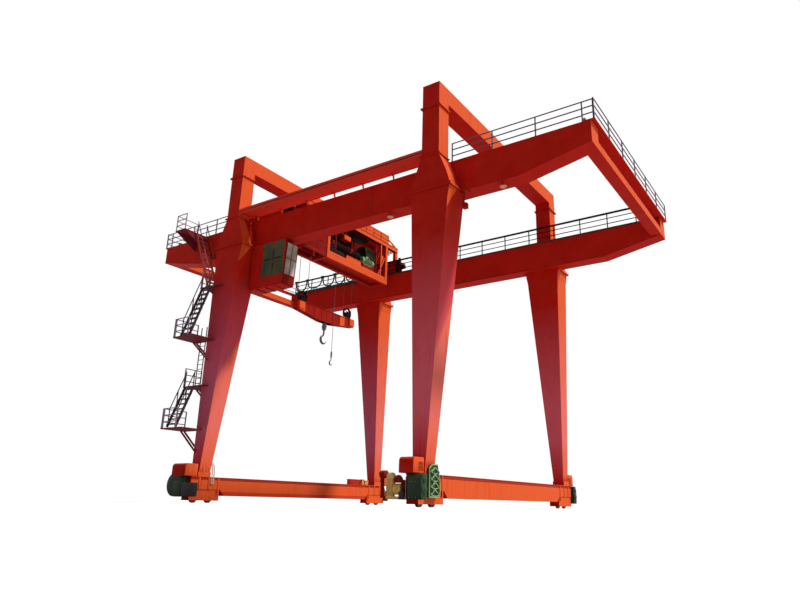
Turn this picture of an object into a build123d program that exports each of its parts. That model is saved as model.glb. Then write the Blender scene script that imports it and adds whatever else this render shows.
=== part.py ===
"""Rail gantry crane: two box girders on flared legs under saddle beams, with a trolley between them."""
import math
import os

from build123d import *

# All sizes are in mm. X runs along the girders, Y across them (the travel way), Z is up.
# The origin is at floor level, in the middle of the four corners.

# girders
girder_half_length = 15480
girder_gap = 11470
girder_width = 960
girder_depth = 1865
girder_end_depth = 1130
girder_taper_x = 11790
tie_depth = 420
tie_width = 620

# leg frames
frame_x = 7410
column_width = 1036
column_depth = 945
column_height = 2935
head_width = 1105
flange_lip = 90
flange_thickness = 60
saddle_stub = 445
saddle_depth = 940
leg_height = 13870
leg_top_half_x = 1190
leg_top_lap = 470
knee_drop = 700
knee_half_x = 1066
leg_foot_half_x = 307
leg_foot_depth = 736
leg_splay = 495
plinth_lip = 55
plinth_height = 250

# ground beams, bogies, rail wheels and drives
ground_beam_bottom_z = 387
ground_beam_depth = 987
ground_beam_width = 672
beam_overhang = 450
bogie_reach = 2000
bogie_width = 600
bogie_top_z = 700
bogie_skirt_z = 120
cheek = 60
wheel_radius = 250
wheel_width = 130
drive_length = 450
drive_width = 640
motor_length = 950
motor_radius = 240
hood_length = 860
hood_height = 670

# walkways and rails
deck_thickness = 50
rail_height = 1100
rail_size = 44
post_size = 56
track_size = 100
walk_lift = 300
loop_radius = 55
loop_leg_gap = 150
carrier_length = 280
carrier_depth = 130
carrier_drop = 150
end_walk_width = 560
walk_overhang = 200
post_pitch = 1820

# trolley
trolley_x = -6350
trolley_half_length = 1750
rail_width = 80
rail_depth = 110
carriage_width = 300
carriage_depth = 520
trolley_wheel_radius = 220
trolley_gear_length = 420
trolley_motor_length = 400
trolley_motor_radius = 190
deck_rise = 2221
deck_depth = 360
deck_beam = 320
bay_near_y = -1950
bay_far_y = 4850
bay_drop = 3400
bay_width = 1550
floor_depth = 300
bay_post = 240

# hoist machines
drum_radius = 470
drum_length = 3300
gearbox_size = (1000, 1250, 2150)

# lifting beam, hooks and ropes
lift_y = 150
lift_half_length = 2920
lift_drop = 4209
lift_end_depth = 560
lift_mid_depth = 880
lift_width = 400
sheave_radius = 430
sheave_reach = 2330
rope_radius = 16
hook_radius = 360
aux_x = -5400
aux_drop = 6080
aux_hook_radius = 190

# cab
cab_gap = 294
cab_height = 2550
cab_length = 2900
cab_width = 1000
cab_wall = 60
cab_rake = 170
cab_outboard = 255

# stairs
stair_width = 750
stair_clear = 840
landing_thickness = 60
tread_depth = 230
stringer = 150
low_landing_z = 3950
second_landing_z = 6450
third_landing_z = 9200
fourth_landing_z = 12650
platform_reach = 1700
platform_length = 1000
platform_setback = 490

# heights and widths that follow from the sizes above
beam_top_z = ground_beam_bottom_z + ground_beam_depth
girder_bottom_z = beam_top_z + leg_height
girder_top_z = girder_bottom_z + girder_depth
seat_z = girder_top_z + column_height
saddle_bottom_z = seat_z + saddle_stub
saddle_top_z = saddle_bottom_z + saddle_depth
girder_inner_y = girder_gap / 2
girder_outer_y = girder_inner_y + girder_width
column_outer_y = girder_outer_y + head_width
column_inner_y = column_outer_y - column_depth
foot_outer_y = column_outer_y + leg_splay
foot_inner_y = foot_outer_y - leg_foot_depth
beam_end_y = foot_outer_y + beam_overhang
bogie_start_y = beam_end_y - bogie_reach
column_half = column_width / 2


def block(x0, x1, y0, y1, z0, z1):
    """Solid box between two corners, given in any order."""
    size = (abs(x1 - x0), abs(y1 - y0), abs(z1 - z0))
    return Pos((x0 + x1) / 2, (y0 + y1) / 2, (z0 + z1) / 2) * Box(*size)


def rod(start, end, radius):
    """Round bar between two points."""
    run = Vector(*end) - Vector(*start)
    return extrude(Plane(origin=start, z_dir=run) * Circle(radius), run.length)


def bar(start, end, width, depth):
    """Square-cut bar between two points, with its width level."""
    run = Vector(*end) - Vector(*start)
    side = Vector(0, 0, 1).cross(run)
    plane = Plane(origin=start, x_dir=side, z_dir=run)
    return extrude(plane * Rectangle(width, depth), run.length)


def slab_xz(points, y0, y1):
    """Outline in the XZ plane carried from y0 to y1."""
    face = make_face(Polyline([(x, y0, z) for x, z in points], close=True))
    return extrude(face, amount=abs(y1 - y0), dir=(0, 1 if y1 > y0 else -1, 0))


def slab_yz(points, x0, x1):
    """Outline in the YZ plane carried from x0 to x1."""
    face = make_face(Polyline([(x0, y, z) for y, z in points], close=True))
    return extrude(face, amount=abs(x1 - x0), dir=(1 if x1 > x0 else -1, 0, 0))


def fused(pieces):
    whole = pieces[0]
    for piece in pieces[1:]:
        whole = whole + piece
    return whole


def group(pieces):
    return Compound(children=list(pieces))


def fence(start, end, spans, base, height=rail_height, top=rail_size, rails=3):
    """Handrail along X or along Y: posts at the ends of each span, and rails between them."""
    (x0, y0), (x1, y1) = start, end
    bars = []
    half = post_size / 2
    for step in range(spans + 1):
        x, y = x0 + (x1 - x0) * step / spans, y0 + (y1 - y0) * step / spans
        bars.append(block(x - half, x + half, y - half, y + half, base, base + height))
    for level in range(1, rails + 1):
        half_rail = (top if level == rails else rail_size) / 2
        z = base + height * level / rails - half_rail
        grow_x, grow_y = (half, half_rail) if y0 == y1 else (half_rail, half)
        bars.append(block(min(x0, x1) - grow_x, max(x0, x1) + grow_x, min(y0, y1) - grow_y,
                          max(y0, y1) + grow_y, z - half_rail, z + half_rail))
    return fused(bars)


def flight(start, end, width, treads):
    """Steep stair between two levels: stringers, treads and a handrail on each side.

    start and end are the middle of the foot and of the head, and it runs along X or along Y."""
    foot, head = Vector(*start), Vector(*end)
    run = Vector(head.X - foot.X, head.Y - foot.Y, 0)
    ahead = run.normalized()
    side = Vector(-ahead.Y, ahead.X, 0)
    pieces = []
    for sign in (-1, 1):
        shift = side * (sign * width / 2)
        a, b = foot + shift, head + shift
        pieces.append(bar(tuple(a), tuple(b), 40, stringer))
        up = Vector(0, 0, rail_height * 0.85)
        pieces.append(bar(tuple(a + up), tuple(b + up), rail_size, rail_size))
        for t in (0.04, 0.5, 0.96):
            p = a + (b - a) * t
            pieces.append(block(p.X - 22, p.X + 22, p.Y - 22, p.Y + 22, p.Z, p.Z + up.Z))
    half = Vector(abs(ahead.X) * tread_depth / 2 + abs(side.X) * width / 2,
                  abs(ahead.Y) * tread_depth / 2 + abs(side.Y) * width / 2, 0)
    for step in range(treads):
        p = foot + (head - foot) * ((step + 0.5) / treads)
        pieces.append(block(p.X - half.X, p.X + half.X, p.Y - half.Y, p.Y + half.Y, p.Z - 20, p.Z + 20))
    return fused(pieces)


def hook_body(x, y, top_z, radius, thickness):
    """Forged hook seen along X: round eye at the shank, open bowl, tapered tip."""
    bowl_z = top_z - 2.1 * radius
    inner = Pos(0, 0) * Circle(0.52 * radius)
    outer = Pos(0.03 * radius, -0.08 * radius) * Circle(radius)
    mouth = make_face(Polyline([(0.05 * radius, 0.12 * radius), (1.3 * radius, 0.3 * radius),
                                (1.2 * radius, 1.4 * radius), (0.22 * radius, 1.4 * radius)], close=True))
    neck = make_face(Polyline([(-0.3 * radius, 0.4 * radius), (0.2 * radius, 0.4 * radius),
                               (0.2 * radius, 2.1 * radius), (-0.3 * radius, 2.1 * radius)], close=True))
    profile = outer - inner - mouth + neck
    plane = Plane(origin=(x - thickness / 2, y, bowl_z), x_dir=(0, 1, 0), z_dir=(1, 0, 0))
    return extrude(plane * profile, thickness)


parts = {}

# girders with raised ends, and the ties low between their ends
end_bottom_z = girder_top_z - girder_end_depth
girder_outline = [
    (-girder_half_length, end_bottom_z), (-girder_taper_x, girder_bottom_z),
    (girder_taper_x, girder_bottom_z), (girder_half_length, end_bottom_z),
    (girder_half_length, girder_top_z), (-girder_half_length, girder_top_z)]
parts["near_girder"] = slab_xz(girder_outline, -girder_outer_y, -girder_inner_y)
parts["far_girder"] = slab_xz(girder_outline, girder_inner_y, girder_outer_y)
ties = []
for sign in (-1, 1):
    outer_x = sign * girder_half_length
    ties.append(block(outer_x - sign * tie_width, outer_x, -girder_inner_y, girder_inner_y,
                      end_bottom_z, end_bottom_z + tie_depth))
parts["end_ties"] = group(ties)

# saddle beams with a stub down to each column
for name, x in (("left_saddle_beam", -frame_x), ("right_saddle_beam", frame_x)):
    outline = [(-column_outer_y, seat_z), (-column_inner_y, seat_z), (-column_inner_y, saddle_bottom_z),
               (column_inner_y, saddle_bottom_z), (column_inner_y, seat_z), (column_outer_y, seat_z),
               (column_outer_y, saddle_top_z), (-column_outer_y, saddle_top_z)]
    parts[name] = slab_yz(outline, x - column_half, x + column_half)

# columns, flared heads and tapering legs at the four corners
columns, heads = [], []
flare = [(0.0, 0.0), (0.28, 0.34), (0.55, 0.64), (0.8, 0.86), (1.0, 1.0)]
for side, sx in (("left", -1), ("right", 1)):
    x = sx * frame_x
    legs = []
    for sy in (-1, 1):
        column = block(x - column_half, x + column_half, sy * column_inner_y, sy * column_outer_y,
                       girder_top_z, seat_z)
        wide = column_half + flange_lip
        for z in (girder_top_z, seat_z - flange_thickness):
            column = column + block(x - wide, x + wide, sy * column_inner_y,
                                    sy * (column_outer_y + flange_lip), z, z + flange_thickness)
        columns.append(column)
        edge = [(column_half + (leg_top_half_x - column_half) * w, girder_top_z - girder_depth * t)
                for t, w in flare]
        outline = [(x + half, z) for half, z in edge] + [(x - half, z) for half, z in reversed(edge)]
        wide = leg_top_half_x + flange_lip
        lip_y = sy * (column_outer_y + flange_lip)
        head = slab_xz(outline, sy * girder_outer_y, sy * column_outer_y)
        heads.append(head + block(x - wide, x + wide, sy * girder_outer_y, lip_y, girder_bottom_z,
                                  girder_bottom_z + flange_thickness))
        knee_z = girder_bottom_z - knee_drop
        front = slab_xz([(x - leg_foot_half_x, beam_top_z), (x + leg_foot_half_x, beam_top_z),
                         (x + knee_half_x, knee_z), (x + leg_top_half_x, girder_bottom_z),
                         (x - leg_top_half_x, girder_bottom_z), (x - knee_half_x, knee_z)],
                        sy * (girder_outer_y - leg_top_lap), sy * foot_outer_y)
        side_outline = [(sy * foot_inner_y, beam_top_z), (sy * foot_outer_y, beam_top_z),
                        (sy * column_outer_y, girder_bottom_z),
                        (sy * (girder_outer_y - leg_top_lap), girder_bottom_z)]
        taper = front & slab_yz(side_outline, x - leg_top_half_x, x + leg_top_half_x)
        plinth = block(x - leg_foot_half_x - plinth_lip, x + leg_foot_half_x + plinth_lip,
                       sy * (foot_inner_y - plinth_lip), sy * (foot_outer_y + plinth_lip),
                       beam_top_z, beam_top_z + plinth_height)
        cap = block(x - wide, x + wide, sy * (girder_outer_y - leg_top_lap), lip_y,
                    girder_bottom_z - flange_thickness, girder_bottom_z)
        legs.append(fused([taper, plinth, cap]))
    parts[f"{side}_legs"] = group(legs)
parts["columns"] = group(columns)
parts["leg_heads"] = group(heads)

# ground beams, raised at the ends over the bogies
beam_half = ground_beam_width / 2
rise = bogie_top_z - ground_beam_bottom_z
for name, x in (("left_ground_beam", -frame_x), ("right_ground_beam", frame_x)):
    outline = [(-beam_end_y, bogie_top_z), (-bogie_start_y, bogie_top_z),
               (-bogie_start_y + rise, ground_beam_bottom_z), (bogie_start_y - rise, ground_beam_bottom_z),
               (bogie_start_y, bogie_top_z), (beam_end_y, bogie_top_z),
               (beam_end_y, beam_top_z), (-beam_end_y, beam_top_z)]
    parts[name] = slab_yz(outline, x - beam_half, x + beam_half)

# bogies with two wheels each, and a drive and a hood at every end
drive_top_z = beam_top_z - 30
bogies, wheels, drives, hoods = [], [], [], []
for sx in (-1, 1):
    x = sx * frame_x
    half = bogie_width / 2
    for sy in (-1, 1):
        near, far = sy * bogie_start_y, sy * beam_end_y
        shell = block(x - half, x + half, near, far, bogie_skirt_z, bogie_top_z)
        room = block(x - half + cheek, x + half - cheek, near + sy * cheek, far - sy * cheek,
                     bogie_skirt_z - 10, bogie_top_z - cheek)
        bogies.append(shell - room)
        for t in (0.25, 0.75):
            y = sy * (bogie_start_y + bogie_reach * t)
            rim = wheel_width / 2
            tread = rod((x - rim, y, wheel_radius), (x + rim, y, wheel_radius), wheel_radius)
            axle = rod((x - half + cheek, y, wheel_radius), (x + half - cheek, y, wheel_radius), 60)
            wheels.append(tread + axle)
        end = sy * (beam_end_y + drive_length)
        case = [(far, 300), (end - sy * 90, 300), (end, 420), (end, drive_top_z - 160),
                (end - sy * 160, drive_top_z), (far, drive_top_z)]
        inner_x = x - sx * (drive_width / 2 - 200)
        housing = slab_yz(case, inner_x, inner_x + sx * drive_width)
        motor_y, motor_z = far + sy * drive_length / 2, (300 + drive_top_z) / 2
        motor = rod((inner_x, motor_y, motor_z), (inner_x - sx * motor_length, motor_y, motor_z),
                    min(motor_radius, drive_length / 2))
        drives.append(housing)
        drives.append(motor)
        hood_start = foot_outer_y + plinth_lip + 15
        hood_end = hood_start + hood_length
        cut = hood_height * 0.22
        hood = [(sy * hood_start, beam_top_z), (sy * hood_end, beam_top_z),
                (sy * hood_end, beam_top_z + hood_height - cut),
                (sy * (hood_end - cut), beam_top_z + hood_height),
                (sy * hood_start, beam_top_z + hood_height)]
        hoods.append(slab_yz(hood, x - beam_half, x + beam_half))
parts["bogies"] = group(bogies)
parts["travel_drives"] = group(drives)
parts["rail_wheels"] = group(wheels)
parts["end_hoods"] = group(hoods)

# perforated guard over the gears at the near right foot
guard_x = frame_x + beam_half
guard_y0, guard_y1 = -(foot_inner_y - 260), -(foot_inner_y + 560)
guard_top = beam_top_z + plinth_height - 30
guard = block(guard_x + 35, guard_x + 190, guard_y0, guard_y1, ground_beam_bottom_z, guard_top)
for row in range(4):
    for column in range(2):
        y = guard_y1 + 220 + column * 370
        z = ground_beam_bottom_z + 190 + row * 290
        hole = [(y - 110, z - 90), (y + 110, z - 40), (y + 60, z + 90)]
        guard = guard - slab_yz(hole, guard_x + 110, guard_x + 200)
guard = guard + block(guard_x, guard_x + 35, guard_y0 - 200, guard_y1 + 200, bogie_top_z + 80, beam_top_z - 80)
parts["gear_guard"] = guard

# outboard walkway between the near columns, on brackets from the girder top
walk_z = girder_top_z + walk_lift
walk_x = frame_x - column_half
near_walk = [block(-walk_x, walk_x, -column_outer_y, -girder_outer_y - 20, walk_z, walk_z + deck_thickness)]
brackets = 7
for step in range(brackets):
    x = (walk_x - 500) * (2 * step / (brackets - 1) - 1)
    outline = [(-girder_outer_y + 160, girder_top_z), (-girder_outer_y + 160, walk_z),
               (-girder_outer_y - 700, walk_z), (-girder_outer_y - 20, walk_z - 130),
               (-girder_outer_y + 20, girder_top_z)]
    near_walk.append(slab_yz(outline, x - 40, x + 40))
parts["near_walkway"] = fused(near_walk)

# walkways and handrails at both girder ends, and along the near girder's ends
deck_top_z = girder_top_z + deck_thickness
walk_edge_x = girder_half_length + walk_overhang
edge_in = post_size / 2 + 12
walks, fences = [], []
for sign in (-1, 1):
    edge = sign * walk_edge_x
    walks.append(block(edge - sign * end_walk_width, edge, -girder_outer_y, girder_outer_y,
                       girder_top_z, deck_top_z))
    x = edge - sign * edge_in
    y = -girder_outer_y + edge_in
    last_x = edge - sign * (end_walk_width + edge_in)
    fences.append(fence((x, y), (x, girder_outer_y - edge_in), 6, deck_top_z))
    side = fence((sign * (frame_x + column_half + 120), y), (last_x, y), 3, girder_top_z)
    corner = fence((last_x, y), (x - sign * (post_size / 2 + 0.5), y), 1, deck_top_z, rail_height - deck_thickness)
    fences.append(side + corner)
parts["end_walkways"] = group(walks)
parts["girder_rails"] = group(fences)

# cable track on posts along the far girder's inner edge, with the cable gathered at its left end
track_y = girder_inner_y + edge_in
track_x0 = -(walk_edge_x - end_walk_width - post_size)
track_spans = round((2 * walk_edge_x - 2 * end_walk_width - 1000) / post_pitch)
track_x1 = track_x0 + track_spans * post_pitch
parts["cable_track"] = fence((track_x0, track_y), (track_x1, track_y), track_spans, girder_top_z, rail_height,
                             track_size)
cable_y = track_y - track_size / 2 - carrier_depth / 2
track_top_z = girder_top_z + rail_height
carrier_x = (-14930, -13650, -11950, -10600, -9450, -8300)
for x in carrier_x:
    carrier = block(x - carrier_length / 2, x + carrier_length / 2, cable_y - carrier_depth / 2,
                    track_y - track_size / 2, track_top_z - carrier_drop, track_top_z)
    parts["cable_track"] = parts["cable_track"] + carrier

# each loop as shares of its width and of its depth
loop_depths = (820, 740, 810, 850, 840)
loop_shape = ((0.0, 0.0), (0.0, 0.36), (0.11, 0.8), (0.36, 1.0), (0.64, 1.01), (0.9, 0.78), (1.0, 0.35),
              (1.0, 0.0))
loops = []
for number, depth in enumerate(loop_depths):
    left = carrier_x[number] + loop_leg_gap / 2
    span = carrier_x[number + 1] - loop_leg_gap / 2 - left
    top = track_top_z - carrier_drop
    points = [Vector(left + span * share, cable_y, top - depth * fall) for share, fall in loop_shape]
    radii = []
    for before, here, after in zip(points, points[1:], points[2:]):
        turn = (here - before).get_angle(after - here)
        shorter = min((here - before).length, (after - here).length)
        radii.append(0.45 * shorter / math.tan(math.radians(turn / 2)))
    print("loop", number, "length", round(sum((b - a).length for a, b in zip(points, points[1:]))), "smallest bend",
          round(min(radii)))
    route = FilletPolyline(*points, radius=radii)
    section = RegularPolygon(loop_radius, 8)
    loops.append(sweep(Plane(origin=points[0], z_dir=points[1] - points[0]) * section, path=route))
parts["festoon_cables"] = group(loops)

# trolley rails with end stops
rail_centre_y = girder_inner_y + girder_width / 3
rail_end_x = walk_edge_x - end_walk_width - 60
rail_top_z = girder_top_z + rail_depth
rails = []
for sy in (-1, 1):
    y = sy * rail_centre_y
    rail = block(-rail_end_x, rail_end_x, y - rail_width / 2, y + rail_width / 2, girder_top_z, rail_top_z)
    for sign in (-1, 1):
        stop_x = sign * rail_end_x
        rail = rail + block(stop_x, stop_x - sign * 160, y - 110, y + 110, girder_top_z, rail_top_z + 420)
    rails.append(rail)
parts["trolley_rails"] = group(rails)

# stairs on the left of the near left leg: landings, steep flights and one ladder
leg = parts["left_legs"]
stair_x = -frame_x - stair_clear - stair_width / 2
half_stair = stair_width / 2
landing_x0, landing_x1 = stair_x - half_stair - 200, -frame_x
foot_y = -column_outer_y
levels = {
    "low": (low_landing_z, foot_y - 1800, foot_y - 200),
    "second": (second_landing_z, foot_y - 700, foot_y + 500),
    "third": (third_landing_z, foot_y - 1820, foot_y - 150),
    "fourth": (fourth_landing_z, foot_y - 400, foot_y + 700)}
landings = []
for z, y0, y1 in levels.values():
    plate = block(landing_x0, landing_x1, y0, y1, z - landing_thickness, z)
    knee_y = y1 - 60
    knees = [bar((landing_x0 + 100, y, z - 60), (-frame_x - 200, y, z - 1250), 60, 90)
             for y in (knee_y, knee_y - 240)]
    rail_x = landing_x0 + edge_in
    side = fence((rail_x, y0 + edge_in), (rail_x, y1 - edge_in), 1, z, rail_height)
    landings.append(fused([plate, side] + knees) - leg)
for key in ("low", "third"):
    z, y0, y1 = levels[key]
    y = y0 + edge_in
    landings.append(fence((landing_x0 + 130, y), (-frame_x - column_half, y), 1, z, rail_height) - leg)
parts["stair_landings"] = group(landings)

low, second, third, fourth = (levels[key] for key in ("low", "second", "third", "fourth"))
top_walk_x = -(girder_taper_x - platform_setback)
top_walk_end = top_walk_x - platform_length
flights = [
    flight((stair_x, low[1] + 270, low[0] + stringer / 2), (stair_x, second[1] + 30, second[0] - 60),
           stair_width, 8),
    flight((stair_x, third[1] + 380, third[0] + stringer / 2), (stair_x, fourth[1] + 30, fourth[0] - 60),
           stair_width, 10)]
climb_y = -girder_outer_y - 60 - stair_width / 2
flights.append(flight((landing_x0 - 40, climb_y, fourth[0] - 60), (top_walk_x + 40, climb_y, girder_top_z - 130),
                      stair_width - 60, 14))
ladder_y = third[2] + 25
ladder = []
for sign in (-1, 1):
    x = stair_x + sign * 230
    ladder.append(block(x - 22, x + 22, ladder_y - 22, ladder_y + 22, second[0], third[0] + 900))
for step in range(9):
    z = second[0] + 250 + step * 280
    ladder.append(block(stair_x - 230, stair_x + 230, ladder_y - 14, ladder_y + 14, z - 14, z + 14))
for number, landing in ((0, 1), (1, 3), (2, 3)):
    flights[number] = flights[number] - landings[landing]
parts["stair_flights"] = group(flights + [fused(ladder)])

# platform on the girder's outer web at the head of the stairs
top_y = -girder_outer_y - platform_reach
platform = [block(top_walk_end, top_walk_x, top_y, -girder_outer_y, girder_top_z - landing_thickness, girder_top_z)]
for x in (top_walk_end + 60, top_walk_x - 60):
    outline = [(-girder_outer_y, girder_top_z - landing_thickness), (-girder_outer_y, girder_top_z - 900),
               (-girder_outer_y - 90, girder_top_z - 900), (top_y + 100, girder_top_z - landing_thickness)]
    platform.append(slab_yz(outline, x - 30, x + 30))
platform.append(fence((top_walk_end + edge_in, top_y + edge_in), (top_walk_x - edge_in, top_y + edge_in), 1,
                      girder_top_z))
platform.append(fence((top_walk_end + edge_in, top_y + edge_in),
                      (top_walk_end + edge_in, -girder_outer_y - edge_in), 1, girder_top_z))
parts["top_platform"] = fused(platform)

# cab hung under the near girder, with glass on three sides
cab_back_x = -(frame_x - leg_top_half_x - 40)
cab_front_x = cab_back_x + cab_length
cab_outer_y = -(girder_outer_y + cab_outboard)
cab_inner_y = cab_outer_y + cab_width
roof_z = girder_bottom_z - cab_gap
floor_z = roof_z - cab_height
shell_outline = [(cab_back_x, floor_z), (cab_front_x - cab_rake, floor_z), (cab_front_x, roof_z),
                 (cab_back_x, roof_z)]
room_outline = [(cab_back_x + cab_wall, floor_z + 2 * cab_wall),
                (cab_front_x - cab_rake - cab_wall, floor_z + 2 * cab_wall),
                (cab_front_x - cab_wall, roof_z - cab_wall), (cab_back_x + cab_wall, roof_z - cab_wall)]
cab = slab_xz(shell_outline, cab_outer_y, cab_inner_y)
cab = cab - slab_xz(room_outline, cab_outer_y + cab_wall, cab_inner_y - cab_wall)
sill_z, head_z = floor_z + 600, roof_z - 190
pane_x0, pane_x1 = cab_back_x + 1050, cab_front_x - 330
side_window = [(pane_x0, sill_z), (pane_x1 - cab_rake * 0.6, sill_z), (pane_x1, head_z), (pane_x0, head_z)]
front_y0, front_y1 = cab_outer_y + 130, cab_inner_y - 130
cab = cab - slab_xz(side_window, cab_outer_y - 10, cab_inner_y + 10)
cab = cab - block(cab_front_x - 350, cab_front_x + 10, front_y0, front_y1, sill_z, head_z)
mid_x, mid_z = (pane_x0 + pane_x1) / 2 - 60, (sill_z + head_z) / 2
bars = []
for y, inward in ((cab_outer_y, 1), (cab_inner_y, -1)):
    bars.append(block(mid_x - 35, mid_x + 35, y, y + inward * 28, sill_z, head_z))
    bars.append(slab_xz([(pane_x0, mid_z - 30), (pane_x1 - cab_rake * 0.32, mid_z - 30),
                         (pane_x1 - cab_rake * 0.28, mid_z + 30), (pane_x0, mid_z + 30)],
                        y, y + inward * 28))
cab = fused([cab] + bars)
parts["cab_body"] = cab


def front_pane(z0, z1, inset, depth):
    """Raked strip behind the cab's front face between two heights."""
    def face_x(z):
        return cab_front_x - cab_rake * (roof_z - z) / cab_height - inset
    return slab_xz([(face_x(z0), z0), (face_x(z1), z1), (face_x(z1) - depth, z1), (face_x(z0) - depth, z0)],
                   front_y0, front_y1)


panes = [slab_xz(side_window, y, y + inward * 12)
         for y, inward in ((cab_outer_y + 34, 1), (cab_inner_y - 34, -1))]
panes.append(front_pane(sill_z, head_z, 24, 12))
parts["cab_glass"] = group(panes)
hangers = []
for x in (cab_back_x + 360, cab_front_x - 620):
    hanger = block(x - 60, x + 60, -girder_outer_y + 40, cab_inner_y - 40, roof_z, girder_bottom_z)
    hangers.append(hanger + block(x - 130, x + 130, -girder_outer_y + 40, cab_inner_y - 40,
                                  girder_bottom_z - 40, girder_bottom_z))
parts["cab_hangers"] = group(hangers)

# trolley: end carriages on the rails, a deck over both girders and a bay sunk between them
trolley_x0, trolley_x1 = trolley_x - trolley_half_length, trolley_x + trolley_half_length
carriage_bottom = rail_top_z + 60
carriage_top = carriage_bottom + carriage_depth
deck_z = girder_top_z + deck_rise
deck_under_z = deck_z - deck_depth
carriage_half = carriage_width / 2
carriages, trolley_wheels, drives = [], [], []
for sy in (-1, 1):
    y = sy * rail_centre_y
    body = block(trolley_x0, trolley_x1, y - carriage_half, y + carriage_half, carriage_bottom, carriage_top)
    for x in (trolley_x0 + 420, trolley_x1 - 420):
        body = body - block(x - 260, x + 260, y - 75, y + 75, carriage_bottom - 10, carriage_top - 40)
        z = rail_top_z + trolley_wheel_radius
        trolley_wheels.append(rod((x, y - 52, z), (x, y + 52, z), trolley_wheel_radius)
                              + rod((x, y - 75, z), (x, y + 75, z), 50))
    carriages.append(body)
    drive_y = y + sy * (carriage_half - 30)
    gear_x = trolley_x1 + trolley_gear_length
    motor_y = drive_y - sy * 110
    drives.append(block(trolley_x1, gear_x, y - carriage_half, drive_y + sy * 60, carriage_bottom,
                        carriage_top + 140))
    drives.append(rod((gear_x, motor_y, carriage_top - 150),
                      (gear_x + trolley_motor_length, motor_y, carriage_top - 150), trolley_motor_radius))
parts["trolley_carriages"] = group(carriages)
parts["trolley_wheels"] = group(trolley_wheels)
parts["trolley_drives"] = group(drives)

deck_end_y = rail_centre_y + carriage_half
frame = [block(x0, x0 + deck_beam, -deck_end_y, deck_end_y, deck_under_z, deck_z)
         for x0 in (trolley_x0, trolley_x1 - deck_beam)]
for sy in (-1, 1):
    frame.append(block(trolley_x0, trolley_x1, sy * (deck_end_y - deck_beam), sy * deck_end_y,
                       deck_under_z, deck_z))
    for x0 in (trolley_x0, trolley_x1 - deck_beam):
        frame.append(block(x0, x0 + deck_beam, sy * (deck_end_y - carriage_width), sy * deck_end_y,
                           carriage_top, deck_under_z))
parts["trolley_frame"] = fused(frame)
plate_z = deck_z - deck_thickness
parts["trolley_deck"] = block(trolley_x0 + deck_beam, trolley_x1 - deck_beam, -deck_end_y + deck_beam,
                              deck_end_y - deck_beam, plate_z, deck_z)
deck_fence = min(rail_height, saddle_bottom_z - deck_z - 90)
side_fences = [fence((x, -deck_end_y + edge_in), (x, deck_end_y - edge_in), 6, deck_z, deck_fence)
               for x in (trolley_x0 + edge_in, trolley_x1 - edge_in)]
parts["trolley_handrails"] = group(side_fences)

# sunken bay: floor frame, corner posts and the braces of its far end
bay_floor_z = deck_z - bay_drop
floor_top = bay_floor_z + floor_depth
bay_x0 = trolley_x1 - bay_width
bay = [block(x0, x0 + bay_post, bay_near_y, bay_far_y, bay_floor_z, floor_top)
       for x0 in (bay_x0, trolley_x1 - bay_post)]
for y in (bay_near_y, bay_far_y - bay_post):
    bay.append(block(bay_x0, trolley_x1, y, y + bay_post, bay_floor_z, floor_top))
    for x0 in (bay_x0, trolley_x1 - bay_post):
        bay.append(block(x0, x0 + bay_post, y, y + bay_post, floor_top, deck_under_z))
bay.append(block(bay_x0, trolley_x1, bay_near_y, bay_far_y, floor_top - deck_thickness, floor_top))
for x in (bay_x0 + bay_post / 2, trolley_x1 - bay_post / 2):
    bay.append(bar((x, bay_far_y - 1150, floor_top - 60), (x, bay_far_y - bay_post, deck_under_z - 900), 90, 110))
rail_bay = deck_under_z - 300
for y in (bay_near_y, bay_far_y - bay_post):
    bay.append(block(bay_x0, trolley_x1, y + 60, y + bay_post - 60, rail_bay, rail_bay + 120))
bay_whole = fused(bay)
for x0 in (bay_x0, trolley_x1 - bay_post):
    if x0 < trolley_x1 - deck_beam:
        bay_whole = bay_whole + block(x0, x0 + bay_post, bay_near_y, bay_far_y, deck_under_z, plate_z)
parts["machine_bay"] = bay_whole

# hoist drum on stands, with its gearbox, motor and control box
drum_x = (bay_x0 + trolley_x1) / 2
drum_y0 = bay_near_y + 760
drum_z = floor_top + drum_radius * 2.3
drum_y1 = drum_y0 + drum_length
barrel = rod((drum_x, drum_y0, drum_z), (drum_x, drum_y1, drum_z), drum_radius)
for y in (drum_y0, drum_y1 - 50):
    barrel = barrel + rod((drum_x, y, drum_z), (drum_x, y + 50, drum_z), drum_radius + 90)
parts["hoist_drum"] = barrel
machines = []
for y in (drum_y0 - 160, drum_y1):
    stand = [(drum_x - 420, floor_top), (drum_x + 420, floor_top), (drum_x + 150, drum_z + 230),
             (drum_x - 150, drum_z + 230)]
    machines.append(slab_xz(stand, y, y + 160))
width, length, height = gearbox_size
box_y = drum_y1 + 160
case = [(drum_x - width / 2, floor_top), (drum_x + width / 2, floor_top),
        (drum_x + width / 2, floor_top + height * 0.8), (drum_x + width / 4, floor_top + height),
        (drum_x - width / 4, floor_top + height), (drum_x - width / 2, floor_top + height * 0.8)]
machines.append(slab_xz(case, box_y, box_y + length))
machines.append(block(drum_x + width / 2 + 20, trolley_x1 - 30, box_y - 900, box_y + 300,
                      floor_top, floor_top + 700))
machines.append(block(drum_x + drum_radius + 60, trolley_x1 - 30, drum_y0 + 900, drum_y0 + 2400,
                      floor_top, floor_top + 420))
parts["hoist_machines"] = group(machines)
parts["hoist_motor"] = group([
    rod((drum_x - 60, drum_y0 - 160, drum_z), (drum_x - 60, bay_near_y + bay_post + 20, drum_z), 210),
    block(drum_x - 300, drum_x + 180, bay_near_y + bay_post + 20, drum_y0 - 160, floor_top, drum_z - 215)])

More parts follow.
